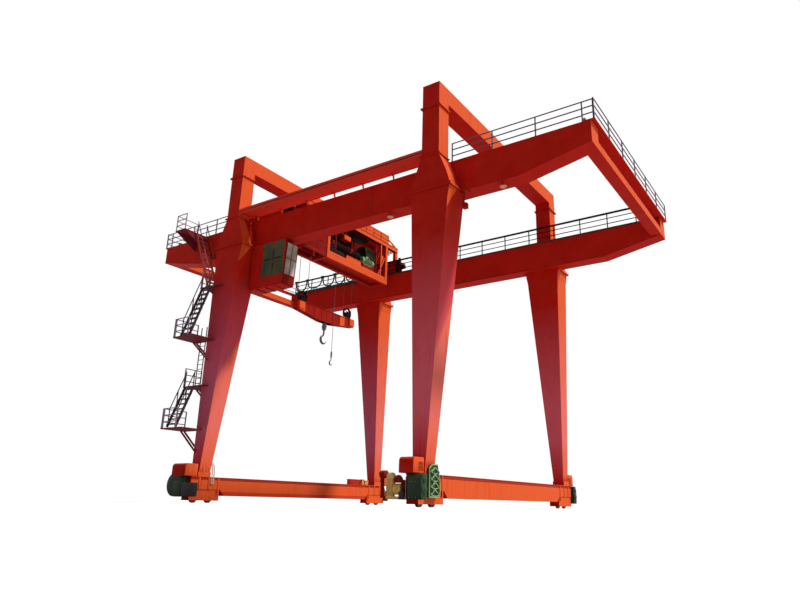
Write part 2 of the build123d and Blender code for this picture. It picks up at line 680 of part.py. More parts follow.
# lifting beam with its sheaves, main hook and ropes
lift_x = trolley_x
lift_top_z = girder_top_z - lift_drop
lift_outline = [
    (lift_y - lift_half_length, lift_top_z - lift_end_depth),
    (lift_y - lift_half_length * 0.2, lift_top_z - lift_mid_depth),
    (lift_y + lift_half_length * 0.2, lift_top_z - lift_mid_depth),
    (lift_y + lift_half_length, lift_top_z - lift_end_depth),
    (lift_y + lift_half_length, lift_top_z), (lift_y - lift_half_length, lift_top_z)]
half_lift = lift_width / 2
beam = slab_yz(lift_outline, lift_x - half_lift, lift_x + half_lift)
for sign in (-1, 1):
    y = lift_y + sign * (lift_half_length - 300)
    beam = beam + block(lift_x - half_lift - 50, lift_x + half_lift + 50, y - 300, y + 300,
                        lift_top_z - lift_end_depth + 60, lift_top_z)
parts["lifting_beam"] = beam
sheave_z = lift_top_z + sheave_radius * 0.9
blocks, ropes = [], []
for sign in (-1, 1):
    y = lift_y + sign * sheave_reach
    disc = rod((lift_x - 60, y, sheave_z), (lift_x + 60, y, sheave_z), sheave_radius)
    well = block(lift_x - 61, lift_x + 61, y - sheave_radius, y + sheave_radius, lift_top_z - 60, lift_top_z)
    pin = rod((lift_x - 130, y, sheave_z), (lift_x + 130, y, sheave_z), 70)
    cheeks = [slab_yz([(y - 330, lift_top_z), (y + 330, lift_top_z), (y + 150, sheave_z + 220),
                       (y - 150, sheave_z + 220)], lift_x + near, lift_x + far)
              for near, far in ((-110, -75), (75, 110))]
    blocks.append(fused([disc - well, pin] + cheeks))
    for edge in (-1, 1):
        rope_y = y + edge * (sheave_radius + rope_radius + 0.3)
        ropes.append(rod((lift_x, rope_y, sheave_z), (lift_x, rope_y, plate_z), rope_radius))
parts["sheave_blocks"] = group(blocks)
parts["main_ropes"] = group(ropes)
hook_top = lift_top_z - lift_mid_depth
parts["main_hook"] = fused([
    block(lift_x - 150, lift_x + 150, lift_y - 190, lift_y + 190, hook_top - 460, hook_top),
    hook_body(lift_x, lift_y, hook_top - 440, hook_radius, 170)])

# auxiliary hook on a single rope from the bay floor
aux_top = bay_floor_z - aux_drop
parts["aux_hook"] = fused([
    rod((aux_x, 0, aux_top - 420), (aux_x, 0, aux_top), 110),
    hook_body(aux_x, 0, aux_top - 380, aux_hook_radius, 90)])
parts["aux_rope"] = rod((aux_x, 0, aux_top), (aux_x, 0, bay_floor_z + floor_depth - deck_thickness), rope_radius)

os.makedirs("parts", exist_ok=True)
for name, shape in parts.items():
    export_step(shape, f"parts/{name}.step")
print(len(parts), "nodes")
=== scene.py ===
import math

import bmesh
import bpy
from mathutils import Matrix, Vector


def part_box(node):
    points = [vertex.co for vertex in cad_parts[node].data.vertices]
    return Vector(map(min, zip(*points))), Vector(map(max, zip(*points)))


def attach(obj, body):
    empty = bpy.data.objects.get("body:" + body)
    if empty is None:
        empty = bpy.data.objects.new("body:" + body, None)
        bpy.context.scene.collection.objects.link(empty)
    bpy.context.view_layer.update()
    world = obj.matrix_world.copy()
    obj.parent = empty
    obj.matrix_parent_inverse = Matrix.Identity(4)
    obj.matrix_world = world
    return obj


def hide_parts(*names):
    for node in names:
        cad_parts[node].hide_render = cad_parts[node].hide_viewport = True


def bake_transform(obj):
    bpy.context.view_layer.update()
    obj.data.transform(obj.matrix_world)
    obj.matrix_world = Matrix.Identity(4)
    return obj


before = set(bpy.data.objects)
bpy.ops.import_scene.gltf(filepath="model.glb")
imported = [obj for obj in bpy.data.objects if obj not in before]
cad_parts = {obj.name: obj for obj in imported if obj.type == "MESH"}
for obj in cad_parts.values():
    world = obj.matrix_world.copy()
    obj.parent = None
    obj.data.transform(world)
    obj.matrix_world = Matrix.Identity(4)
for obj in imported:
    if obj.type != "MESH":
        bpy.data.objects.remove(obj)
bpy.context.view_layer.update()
scene = bpy.context.scene

# corners of the CAD nodes that the pieces below are placed by, in metres
box = {name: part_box(name) for name in (
    "near_girder", "far_girder", "left_saddle_beam", "right_ground_beam", "columns", "cable_track",
    "main_hook", "aux_hook", "gear_guard")}
frameX = (box["right_ground_beam"][0].x + box["right_ground_beam"][1].x) / 2
girderTop = box["near_girder"][1].z
girderBottom = box["near_girder"][0].z
girderInner = box["far_girder"][0].y
girderOuter = box["far_girder"][1].y
beamTop = box["right_ground_beam"][1].z
columnTop = box["left_saddle_beam"][0].z
print("frame loaded")


def link(tree, source, target):
    tree.links.new(source, target)


def addNode(tree, kind, **values):
    node = tree.nodes.new(kind)
    for key, value in values.items():
        setattr(node, key, value)
    return node


def addMath(tree, operation, first, second=None, clamp=False):
    node = addNode(tree, "ShaderNodeMath", operation=operation, use_clamp=clamp)
    for socket, value in zip(node.inputs, (first, second)):
        if value is None:
            continue
        if isinstance(value, (int, float)):
            socket.default_value = value
        else:
            link(tree, value, socket)
    return node.outputs[0]


def mixColour(tree, factor, first, second, blend="MIX"):
    node = addNode(tree, "ShaderNodeMix", data_type="RGBA", blend_type=blend)
    for index, value in ((0, factor), (6, first), (7, second)):
        if hasattr(value, "is_output"):
            link(tree, value, node.inputs[index])
        elif isinstance(value, (int, float)):
            node.inputs[index].default_value = value
        else:
            node.inputs[index].default_value = (*value[:3], 1.0)
    return node.outputs[2]


def rangeOf(tree, value, low, high, outLow=0.0, outHigh=1.0):
    node = addNode(tree, "ShaderNodeMapRange")
    link(tree, value, node.inputs["Value"])
    for label, number in (("From Min", low), ("From Max", high), ("To Min", outLow), ("To Max", outHigh)):
        node.inputs[label].default_value = number
    return node.outputs[0]


def noiseOf(tree, scale, detail=3.0, stretch=(1, 1, 1), rough=0.55):
    where = addNode(tree, "ShaderNodeTexCoord").outputs["Object"]
    mapping = addNode(tree, "ShaderNodeMapping")
    mapping.inputs["Scale"].default_value = stretch
    link(tree, where, mapping.inputs["Vector"])
    noise = addNode(tree, "ShaderNodeTexNoise")
    link(tree, mapping.outputs[0], noise.inputs["Vector"])
    if hasattr(scale, "is_output"):
        link(tree, scale, noise.inputs["Scale"])
    else:
        noise.inputs["Scale"].default_value = scale
    noise.inputs["Detail"].default_value = detail
    noise.inputs["Roughness"].default_value = rough
    return noise.outputs["Fac"]


def newGroup(name, inputs, outputs):
    group = bpy.data.node_groups.new(name, "ShaderNodeTree")
    for label, kind, value in inputs:
        socket = group.interface.new_socket(label, in_out="INPUT", socket_type=kind)
        socket.default_value = value
    for label, kind in outputs:
        group.interface.new_socket(label, in_out="OUTPUT", socket_type=kind)
    return group, addNode(group, "NodeGroupInput"), addNode(group, "NodeGroupOutput")


# Masks by which way a face points: toward the key light, where light and shade are painted in; down, where
# undersides get painted shade; and up, for dust.
def facingGroup():
    group, start, end = newGroup("facingMasks", [("Softness", "NodeSocketFloat", 0.35)],
                                 [("PaintedLightMask", "NodeSocketFloat"), ("Downward", "NodeSocketFloat"),
                                  ("Upward", "NodeSocketFloat")])
    normal = addNode(group, "ShaderNodeTexCoord").outputs["Normal"]
    parts = addNode(group, "ShaderNodeSeparateXYZ")
    link(group, normal, parts.inputs[0])
    breakUp = addMath(group, "MULTIPLY", addMath(group, "SUBTRACT", noiseOf(group, 0.8, 4.0), 0.5),
                      start.outputs["Softness"])
    for label, value in (("PaintedLightMask", parts.outputs[0]),
                         ("Downward", addMath(group, "MULTIPLY", parts.outputs[2], -1.0)),
                         ("Upward", parts.outputs[2])):
        mask = rangeOf(group, addMath(group, "ADD", value, breakUp), 0.35, 0.75)
        link(group, mask, end.inputs[label])
    return group


# Worn rims: where a rounded normal leaves the true one, broken up by noise.
def edgeGroup():
    group, start, end = newGroup("edgeWear",
                                 [("Radius", "NodeSocketFloat", 0.03), ("Amount", "NodeSocketFloat", 0.5)],
                                 [("Mask", "NodeSocketFloat")])
    bevel = addNode(group, "ShaderNodeBevel", samples=4)
    link(group, start.outputs["Radius"], bevel.inputs["Radius"])
    true = addNode(group, "ShaderNodeNewGeometry").outputs["Normal"]
    dot = addNode(group, "ShaderNodeVectorMath", operation="DOT_PRODUCT")
    link(group, bevel.outputs[0], dot.inputs[0])
    link(group, true, dot.inputs[1])
    rim = rangeOf(group, dot.outputs["Value"], 0.985, 0.80)
    patchy = rangeOf(group, noiseOf(group, 9.0, 5.0), 0.42, 0.62)
    mask = addMath(group, "MULTIPLY", rim, patchy)
    link(group, addMath(group, "MULTIPLY", mask, start.outputs["Amount"], True), end.inputs["Mask"])
    return group


# Rain streaks that run down upright faces, and dust that settles in broad patches.
def weatherGroup():
    group, start, end = newGroup("weather",
                                 [("Streaks", "NodeSocketFloat", 0.4), ("Dust", "NodeSocketFloat", 0.3)],
                                 [("Streak", "NodeSocketFloat"), ("Dust", "NodeSocketFloat"),
                                  ("Height", "NodeSocketFloat")])
    drip = rangeOf(group, noiseOf(group, 2.2, 5.0, (4.0, 4.0, 0.16)), 0.50, 0.74)
    broad = rangeOf(group, noiseOf(group, 0.35, 3.0), 0.38, 0.66)
    link(group, addMath(group, "MULTIPLY", addMath(group, "MULTIPLY", drip, broad), start.outputs["Streaks"],
                        True),
         end.inputs["Streak"])
    film = rangeOf(group, noiseOf(group, 1.3, 6.0), 0.40, 0.72)
    link(group, addMath(group, "MULTIPLY", film, start.outputs["Dust"], True), end.inputs["Dust"])
    link(group, addMath(group, "ADD", noiseOf(group, 7.0, 3.0), addMath(group, "MULTIPLY", drip, -0.3)),
         end.inputs["Height"])
    return group


effects = {"facing": facingGroup(), "edges": edgeGroup(), "weather": weatherGroup()}


def useEffect(tree, name, **values):
    node = addNode(tree, "ShaderNodeGroup", node_tree=effects[name])
    for label, value in values.items():
        node.inputs[label.replace("_", " ")].default_value = value
    return node


def newMaterial(name, roughness, metallic=0.0, specular=0.3):
    material = bpy.data.materials.new(name)
    material.use_nodes = True
    shader = material.node_tree.nodes["Principled BSDF"]
    shader.inputs["Roughness"].default_value = roughness
    shader.inputs["Metallic"].default_value = metallic
    shader.inputs["Specular IOR Level"].default_value = specular
    return material, material.node_tree, shader


def addBump(tree, shader, height, strength, distance):
    bump = addNode(tree, "ShaderNodeBump")
    bump.inputs["Strength"].default_value = strength
    bump.inputs["Distance"].default_value = distance
    link(tree, height, bump.inputs["Height"])
    link(tree, bump.outputs[0], shader.inputs["Normal"])


def objectPlace(tree):
    parts = addNode(tree, "ShaderNodeSeparateXYZ")
    link(tree, addNode(tree, "ShaderNodeTexCoord").outputs["Object"], parts.inputs[0])
    return parts.outputs


# Painted shadow of the girder on a near leg: takes the painted key-side colour off where the girder over it
# would shade it.
def shadeUnderGirder(tree, sunward, shade):
    place = objectPlace(tree)
    line = addMath(tree, "SUBTRACT", place[2], addMath(tree, "MULTIPLY", place[1], shade["slope"]))
    above = rangeOf(tree, line, shade["start"], shade["start"] + shade["soft"])
    edge = addMath(tree, "ADD", rangeOf(tree, place[2], *shade["taper"], shade["outer"], shade["inner"]),
                   rangeOf(tree, place[2], *shade["head"], 0.0, shade["lean"]))
    beside = rangeOf(tree, addMath(tree, "SUBTRACT", place[1], edge), 0.0, shade["rim"])
    covered = addMath(tree, "MULTIPLY", addMath(tree, "MULTIPLY", above, beside), shade["amount"])
    return addMath(tree, "MULTIPLY", sunward, addMath(tree, "SUBTRACT", 1.0, covered))


# Painted ground-bounce light: a paler, pinker tone that comes in from the foot of a leg and fades out below
# its head, in lit and shaded copies.
def hazeOver(tree, colour, sunward, haze):
    height = objectPlace(tree)[2]
    rise = rangeOf(tree, height, haze["foot"], haze["low"])
    fall = rangeOf(tree, height, haze["top"], haze["high"])
    cover = addMath(tree, "MULTIPLY", addMath(tree, "MULTIPLY", rise, fall), haze["amount"], True)
    return mixColour(tree, cover, colour, mixColour(tree, sunward, haze["deep"], haze["sunward"]))


# Painted stripe between two places along an axis, 2 for height where none is given.
def bandOver(tree, colour, sunward, band):
    along = objectPlace(tree)[band.get("axis", 2)]
    inside = addMath(tree, "MULTIPLY", addMath(tree, "GREATER_THAN", along, band["low"]),
                     addMath(tree, "LESS_THAN", along, band["high"]))
    return mixColour(tree, inside, colour, mixColour(tree, sunward, band["deep"], band["sunward"]))


# Coat of paint on steel with light and shade painted in: the deep colour on faces turned from the key light,
# the painted key-side colour on faces turned toward it, painted shade on undersides; streaked and chipped.
def paintMaterial(name, look):
    material, tree, shader = newMaterial(name, look["roughness"], specular=look.get("specular", 0.18))
    facing = useEffect(tree, "facing", Softness=look.get("softness", 0.3))
    edges = useEffect(tree, "edges", Radius=look["edgeRadius"], Amount=look["edgeWear"])
    weather = useEffect(tree, "weather", Streaks=look["streaks"], Dust=look["dust"])
    mottle = rangeOf(tree, noiseOf(tree, look["mottleScale"], 4.0), 0.3, 0.7)
    deep = mixColour(tree, mottle, look["deep"], [c * 0.80 for c in look["deep"]])
    below = mixColour(tree, facing.outputs["Downward"], deep, look.get("below", look["deep"]))
    sunward = facing.outputs["PaintedLightMask"]
    if "girderShade" in look:
        sunward = shadeUnderGirder(tree, sunward, look["girderShade"])
    colour = mixColour(tree, sunward, below, look["sunward"])
    colour = mixColour(tree, addMath(tree, "MULTIPLY", facing.outputs["Upward"], 0.5), colour,
                       look["dustColour"])
    if "haze" in look:
        colour = hazeOver(tree, colour, sunward, look["haze"])
    for band in look.get("bands", ()):
        colour = bandOver(tree, colour, facing.outputs["PaintedLightMask"], band)
    colour = mixColour(tree, weather.outputs["Streak"], colour, look["streakColour"])
    colour = mixColour(tree, weather.outputs["Dust"], colour, look["dustColour"])
    colour = mixColour(tree, edges.outputs["Mask"], colour, look["chipColour"])
    link(tree, colour, shader.inputs["Base Color"])
    rough = addMath(tree, "ADD", addMath(tree, "MULTIPLY", weather.outputs["Dust"], 0.3), look["roughness"],
                    True)
    link(tree, rough, shader.inputs["Roughness"])
    addBump(tree, shader, weather.outputs["Height"], 0.16, 0.006)
    return material


# Oiled or bare steel with scratches and rust in its hollows.
def steelMaterial(name, look):
    material, tree, shader = newMaterial(name, look["roughness"], look.get("metallic", 0.7),
                                         look.get("specular", 0.4))
    scratch = rangeOf(tree, noiseOf(tree, 14.0, 5.0, look.get("grain", (1, 1, 8))), 0.35, 0.7)
    rust = rangeOf(tree, noiseOf(tree, 3.0, 6.0), 0.5, 0.72)
    edges = useEffect(tree, "edges", Radius=0.012, Amount=0.7)
    colour = mixColour(tree, scratch, look["steel"], [c * 1.5 for c in look["steel"]])
    colour = mixColour(tree, addMath(tree, "MULTIPLY", rust, look["rustAmount"]), colour, look["rust"])
    colour = mixColour(tree, edges.outputs["Mask"], colour, look["edge"])
    link(tree, colour, shader.inputs["Base Color"])
    link(tree, rangeOf(tree, scratch, 0.0, 1.0, look["roughness"] - 0.1, look["roughness"] + 0.15),
         shader.inputs["Roughness"])
    addBump(tree, shader, scratch, 0.3, 0.002)
    return material


# Each paint holds a deep colour for faces turned from the key light and a sunward colour for faces turned
# toward it: light and shade painted into the paint.
paints = {
    "gantry": {"deep": (0.62, 0.0125, 0.006), "sunward": (0.84, 0.120, 0.030), "below": (0.56, 0.010, 0.005),
               "streakColour": (0.50, 0.010, 0.006), "dustColour": (0.70, 0.10, 0.05),
               "chipColour": (0.20, 0.03, 0.02), "roughness": 0.60, "specular": 0.06, "edgeRadius": 0.035,
               "edgeWear": 0.55, "streaks": 0.55, "dust": 0.10, "mottleScale": 0.5},
    "rail": {"deep": (0.10, 0.075, 0.125), "sunward": (0.26, 0.21, 0.34), "streakColour": (0.14, 0.06, 0.07),
             "dustColour": (0.36, 0.28, 0.32), "chipColour": (0.25, 0.05, 0.04), "roughness": 0.5,
             "edgeRadius": 0.006, "edgeWear": 0.6, "streaks": 0.5, "dust": 0.25, "mottleScale": 2.5},
    "darkGreen": {"deep": (0.014, 0.030, 0.012), "sunward": (0.020, 0.065, 0.022),
                  "streakColour": (0.006, 0.012, 0.008), "dustColour": (0.05, 0.07, 0.035),
                  "chipColour": (0.12, 0.14, 0.09), "roughness": 0.5, "edgeRadius": 0.015, "edgeWear": 0.7,
                  "streaks": 0.7, "dust": 0.25, "mottleScale": 2.0},
    "lightGreen": {"deep": (0.16, 0.34, 0.11), "sunward": (0.30, 0.52, 0.22),
                   "streakColour": (0.02, 0.05, 0.02), "dustColour": (0.24, 0.33, 0.18),
                   "chipColour": (0.28, 0.33, 0.24), "roughness": 0.48, "edgeRadius": 0.012, "edgeWear": 0.7,
                   "streaks": 0.6, "dust": 0.25, "mottleScale": 2.5},
    "yellow": {"deep": (0.98, 0.62, 0.18), "sunward": (0.98, 0.76, 0.36), "streakColour": (0.40, 0.16, 0.04),
               "dustColour": (0.80, 0.56, 0.25), "chipColour": (0.25, 0.15, 0.07), "roughness": 0.45,
               "edgeRadius": 0.012, "edgeWear": 0.6, "streaks": 0.35, "dust": 0.12, "mottleScale": 3.0}}


def variant(name, base, **changes):
    paints[name] = dict(paints[base], **changes)


def stripe(low, high, deep, sunward, axis=2):
    return {"axis": axis, "low": low, "high": high, "deep": deep, "sunward": sunward}


# Walkway: painted bounce light makes its shaded faces bright red, and painted shade darkens its faces toward
# the key light.
variant("walk", "gantry", deep=(0.94, 0.062, 0.042), sunward=(0.50, 0.020, 0.012), below=(0.92, 0.060, 0.040))
# Painted shade: dark red, darker still on faces toward the key light.
variant("shaded", "gantry", deep=(0.58, 0.011, 0.006), sunward=(0.22, 0.007, 0.004),
        below=(0.56, 0.011, 0.006))
# Painted shade on the bay's near panel and inner parts: dark red on every side, darkest toward the key light.
variant("paintedShadeRed", "gantry", deep=(0.50, 0.010, 0.006), sunward=(0.24, 0.008, 0.005),
        below=(0.50, 0.010, 0.006))
variant("oxide", "gantry", deep=(0.20, 0.010, 0.008), sunward=(0.34, 0.022, 0.016),
        below=(0.20, 0.010, 0.008), edgeRadius=0.008, mottleScale=3.0)
variant("blackGreen", "darkGreen", specular=0.05, deep=(0.008, 0.014, 0.005), sunward=(0.013, 0.024, 0.008),
        dustColour=(0.03, 0.035, 0.015))
# Lifting beam: painted shadow of the trolley over its key-side faces, with painted sunlit patches where light
# gets through.
variant("lifting", "gantry", sunward=(0.34, 0.012, 0.006), bands=[
    stripe(low, high, paints["gantry"]["deep"], paints["gantry"]["sunward"], axis=1)
    for low, high in ((-2.60, -2.05), (1.55, 2.10), (2.62, 3.12))])
variant("amber", "yellow", deep=(0.60, 0.12, 0.025), sunward=(0.84, 0.30, 0.06))
variant("pink", "yellow", deep=(0.55, 0.16, 0.13), sunward=(0.85, 0.36, 0.30), dustColour=(0.5, 0.25, 0.2))
variant("pipe", "yellow", deep=(0.52, 0.36, 0.28), sunward=(0.80, 0.62, 0.46), dustColour=(0.5, 0.4, 0.3))
variant("stair", "rail", deep=(0.035, 0.020, 0.034), sunward=(0.10, 0.065, 0.10),
        bands=[stripe(12.90, 17.00, (0.42, 0.012, 0.008), (0.60, 0.06, 0.02))])
variant("nearBlack", "darkGreen", specular=0.03, deep=(0.024, 0.006, 0.008), sunward=(0.026, 0.007, 0.009),
        dustColour=(0.05, 0.018, 0.016), chipColour=(0.06, 0.025, 0.02))
variant("interior", "nearBlack", deep=(0.010, 0.011, 0.008), sunward=(0.03, 0.03, 0.02))
# Ground beams: a dark stripe along the top of the webs is painted shade under the top flange.
variant("beam", "gantry", bands=[stripe(1.20, 1.36, (0.50, 0.010, 0.005), (0.42, 0.032, 0.014))])
variant("leftBeam", "beam", bands=paints["beam"]["bands"] + [
    stripe(0.30, 0.60, (0.50, 0.010, 0.005), (0.62, 0.055, 0.018))])
# Machine bay: a darker stripe over the bay's inside is painted shade.
variant("bay", "gantry", bands=[stripe(-7.0, -4.9, (0.44, 0.010, 0.006), (0.30, 0.010, 0.007), axis=0)])
# Landings and top platform: painted shade, dark on every side, with pale stripes at rail height as painted
# light, standing in for rails washed out by the bright backdrop.
variant("landing", "gantry", deep=(0.26, 0.030, 0.050), sunward=(0.24, 0.030, 0.050),
        below=(0.20, 0.022, 0.040),
        bands=[stripe(floor + 0.012, floor + 1.25, (0.34, 0.27, 0.42), (0.52, 0.46, 0.62))
               for floor in (3.95, 6.45, 9.20, 12.65, 17.109)])

# The near legs: where the painted shadow of the girder starts and ends on them, and the painted ground-bounce
# light on their lower part.
girderShade = {"slope": 2.1, "start": 23.5, "soft": 0.5, "outer": -8.70, "inner": -7.12,
               "taper": (12.6, 15.2), "head": (15.2, 17.1), "lean": -0.22, "rim": 0.06, "amount": 0.96}
haze = {"foot": 1.4, "low": 4.0, "high": 6.0, "top": 12.8, "amount": 0.85, "deep": (0.86, 0.150, 0.215),
        "sunward": (0.90, 0.20, 0.17)}
variant("leg", "gantry", girderShade=girderShade, haze=haze)
variant("leftLeg", "leg", haze=dict(haze, deep=(0.66, 0.145, 0.250), top=13.4))
metals = {
    "wound": {"steel": (0.014, 0.005, 0.007), "rust": (0.030, 0.006, 0.005), "edge": (0.05, 0.025, 0.025),
              "roughness": 0.75, "rustAmount": 0.5, "metallic": 0.0, "specular": 0.04},
    "steel": {"steel": (0.10, 0.10, 0.11), "rust": (0.10, 0.035, 0.018), "edge": (0.34, 0.33, 0.33),
              "roughness": 0.42, "rustAmount": 0.5},
    "rope": {"steel": (0.10, 0.055, 0.06), "rust": (0.08, 0.03, 0.025), "edge": (0.16, 0.12, 0.12),
             "roughness": 0.5, "rustAmount": 0.3, "grain": (1, 1, 30)}}


# Cab glass in a dark olive tint; panes facing the key light are painted pale, a painted reflection standing
# in for the bright backdrop seen through them.
def glassMaterial():
    material, tree, shader = newMaterial("cabGlass", 0.25, specular=0.12)
    tint = rangeOf(tree, noiseOf(tree, 0.9, 3.0), 0.3, 0.7)
    facing = useEffect(tree, "facing", Softness=0.3)
    dark = mixColour(tree, tint, (0.018, 0.020, 0.003), (0.085, 0.072, 0.010))
    colour = mixColour(tree, facing.outputs["PaintedLightMask"], dark,
                       mixColour(tree, tint, (0.20, 0.19, 0.15), (0.62, 0.58, 0.50)))
    link(tree, colour, shader.inputs["Base Color"])
    grime = rangeOf(tree, noiseOf(tree, 5.0, 6.0, (1, 1, 0.3)), 0.4, 0.75)
    link(tree, rangeOf(tree, grime, 0.0, 1.0, 0.07, 0.4), shader.inputs["Roughness"])
    return material


def rubberMaterial():
    material, tree, shader = newMaterial("cableSheath", 0.6, specular=0.25)
    wear = rangeOf(tree, noiseOf(tree, 6.0, 5.0), 0.35, 0.75)
    link(tree, mixColour(tree, wear, (0.010, 0.010, 0.011), (0.035, 0.033, 0.032)),
         shader.inputs["Base Color"])
    link(tree, rangeOf(tree, wear, 0.0, 1.0, 0.5, 0.75), shader.inputs["Roughness"])
    addBump(tree, shader, noiseOf(tree, 40.0, 3.0), 0.3, 0.003)
    return material


def lampMaterial():
    material, tree, shader = newMaterial("lampLens", 0.25, specular=0.5)
    ripple = rangeOf(tree, noiseOf(tree, 18.0, 2.0), 0.3, 0.7)
    link(tree, mixColour(tree, ripple, (0.60, 0.34, 0.17), (0.74, 0.48, 0.27)), shader.inputs["Base Color"])
    addBump(tree, shader, ripple, 0.4, 0.004)
    return material


look = {name: paintMaterial(name + "Paint", values) for name, values in paints.items()}
look.update({name: steelMaterial(name + "Metal", values) for name, values in metals.items()})
look["glass"] = glassMaterial()
look["rubber"] = rubberMaterial()
look["lens"] = lampMaterial()

nodeLooks = {
    "leg": ("right_legs", "leg_heads"), "leftLeg": ("left_legs",), "beam": ("right_ground_beam",),
    "leftBeam": ("left_ground_beam",), "lifting": ("lifting_beam",), "bay": ("machine_bay",),
    "shaded": ("cab_body", "cab_hangers", "trolley_carriages"),
    "rail": ("girder_rails", "trolley_handrails"), "nearBlack": ("cable_track",), "stair": ("stair_flights",),
    "landing": ("stair_landings", "top_platform"),
    "darkGreen": ("travel_drives", "trolley_drives", "hoist_machines"),
    "lightGreen": ("gear_guard", "hoist_motor"),
    "steel": ("rail_wheels", "trolley_wheels", "trolley_rails", "main_hook", "aux_hook", "sheave_blocks",
              "hoist_drum"),
    "rope": ("main_ropes", "aux_rope"),
    "glass": ("cab_glass",),
    "rubber": ("festoon_cables",)}
lookOf = {node: name for name, nodes in nodeLooks.items() for node in nodes}
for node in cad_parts:
    obj = bpy.data.objects[node] if isinstance(node, str) else node
    finish = look[lookOf.get(obj.name, "gantry")]
    obj.data.materials.clear()
    obj.data.materials.append(finish)
print("materials on the CAD nodes")


def addBox(shape, low, high):
    corners = [shape.verts.new((x, y, z)) for z in (low[2], high[2]) for y in (low[1], high[1])
               for x in (low[0], high[0])]
    for face in ((0, 2, 3, 1), (4, 5, 7, 6), (0, 1, 5, 4), (2, 6, 7, 3), (0, 4, 6, 2), (1, 3, 7, 5)):
        shape.faces.new([corners[i] for i in face])


def addBoxes(shape, corners):
    for low, high in corners:
        addBox(shape, low, high)


# The two ends of a stretch on the side given by sign, lower one first.
def span(sign, first, second):
    return sorted((sign * first, sign * second))


def ringAt(shape, centre, axis, radius, sides, turn=0.0):
    side = axis.orthogonal().normalized()
    other = axis.cross(side).normalized()
    return [shape.verts.new(centre + (side * math.cos(turn + 2 * math.pi * i / sides)
                                      + other * math.sin(turn + 2 * math.pi * i / sides)) * radius)
            for i in range(sides)]


def bridge(shape, first, second):
    count = len(first)
    for i in range(count):
        shape.faces.new((first[i], first[(i + 1) % count], second[(i + 1) % count], second[i]))


# Turned shape: profile holds (distance along the axis, radius) pairs from one end to the other.
def addLathe(shape, start, axis, profile, sides=24):
    start, axis = Vector(start), Vector(axis).normalized()
    rings = [ringAt(shape, start + axis * along, axis, radius, sides) for along, radius in profile]
    for first, second in zip(rings, rings[1:]):
        bridge(shape, first, second)
    shape.faces.new(rings[0])
    shape.faces.new(rings[-1])


def addBar(shape, start, end, radius, sides=10):
    start, end = Vector(start), Vector(end)
    addLathe(shape, start, end - start, ((0, radius), ((end - start).length, radius)), sides)


# Closed tube along points, with a radius for each point.
def addTube(shape, points, radii, sides=12, up=Vector((1, 0, 0))):
    rings = []
    turns = [2 * math.pi * k / sides for k in range(sides)]
    for i, point in enumerate(points):
        before, after = points[max(i - 1, 0)], points[min(i + 1, len(points) - 1)]
        along = (after - before).normalized()
        side = along.cross(up).normalized()
        other = along.cross(side).normalized()
        wide, deep = radii[i] if isinstance(radii[i], tuple) else (radii[i], radii[i])
        rings.append([shape.verts.new(point + side * (math.cos(turn) * wide)
                                      + other * (math.sin(turn) * deep))
                      for turn in turns])
    for first, second in zip(rings, rings[1:]):
        bridge(shape, first, second)
    shape.faces.new(rings[0])
    shape.faces.new(rings[-1])


prismAxes = {"x": lambda a, b, c: (c, a, b), "y": lambda a, b, c: (a, c, b),
             "z": lambda a, b, c: (a, b, c)}


def addPrism(shape, outline, axis, low, high):
    order = prismAxes[axis]
    first = [shape.verts.new(order(a, b, low)) for a, b in outline]
    second = [shape.verts.new(order(a, b, high)) for a, b in outline]
    bridge(shape, first, second)
    shape.faces.new(first)
    shape.faces.new(second)


def evaluated(obj):
    mesh = bpy.data.meshes.new_from_object(obj.evaluated_get(bpy.context.evaluated_depsgraph_get()))
    obj.modifiers.clear()
    obj.data = mesh
    return obj


# Makes one piece from a function that fills a mesh, rounds its edges and puts it on its body.
def makePiece(name, body, material, fill, bevel=0.0, angle=35.0):
    shape = bmesh.new()
    fill(shape)
    bmesh.ops.recalc_face_normals(shape, faces=shape.faces[:])
    mesh = bpy.data.meshes.new(name)
    shape.to_mesh(mesh)
    shape.free()
    mesh.materials.append(look[material])
    obj = bpy.data.objects.new(name, mesh)
    scene.collection.objects.link(obj)
    if bevel:
        rounding = obj.modifiers.new("rounding", "BEVEL")
        rounding.width = bevel
        rounding.segments = 2
        rounding.limit_method = "ANGLE"
        evaluated(obj)
    obj.data.shade_smooth()
    obj.data.set_sharp_from_angle(angle=math.radians(angle))
    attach(obj, body)
    return obj


# Festoon cable: hanging loops between carriers under the track beam. The points repeat the CAD route.
festoon = {
    "carrierX": (-14.930, -13.650, -11.950, -10.600, -9.450, -8.300),
    "depths": (0.820, 0.740, 0.810, 0.850, 0.840),
    "shares": ((0.0, 0.0), (0.0, 0.36), (0.11, 0.8), (0.36, 1.0), (0.64, 1.01), (0.9, 0.78), (1.0, 0.35),
               (1.0, 0.0)),
    "legGap": 0.150, "carrierDrop": 0.150, "diameter": 0.110,
    "lengths": (2.27, 2.47, 2.31, 2.23, 2.21)}


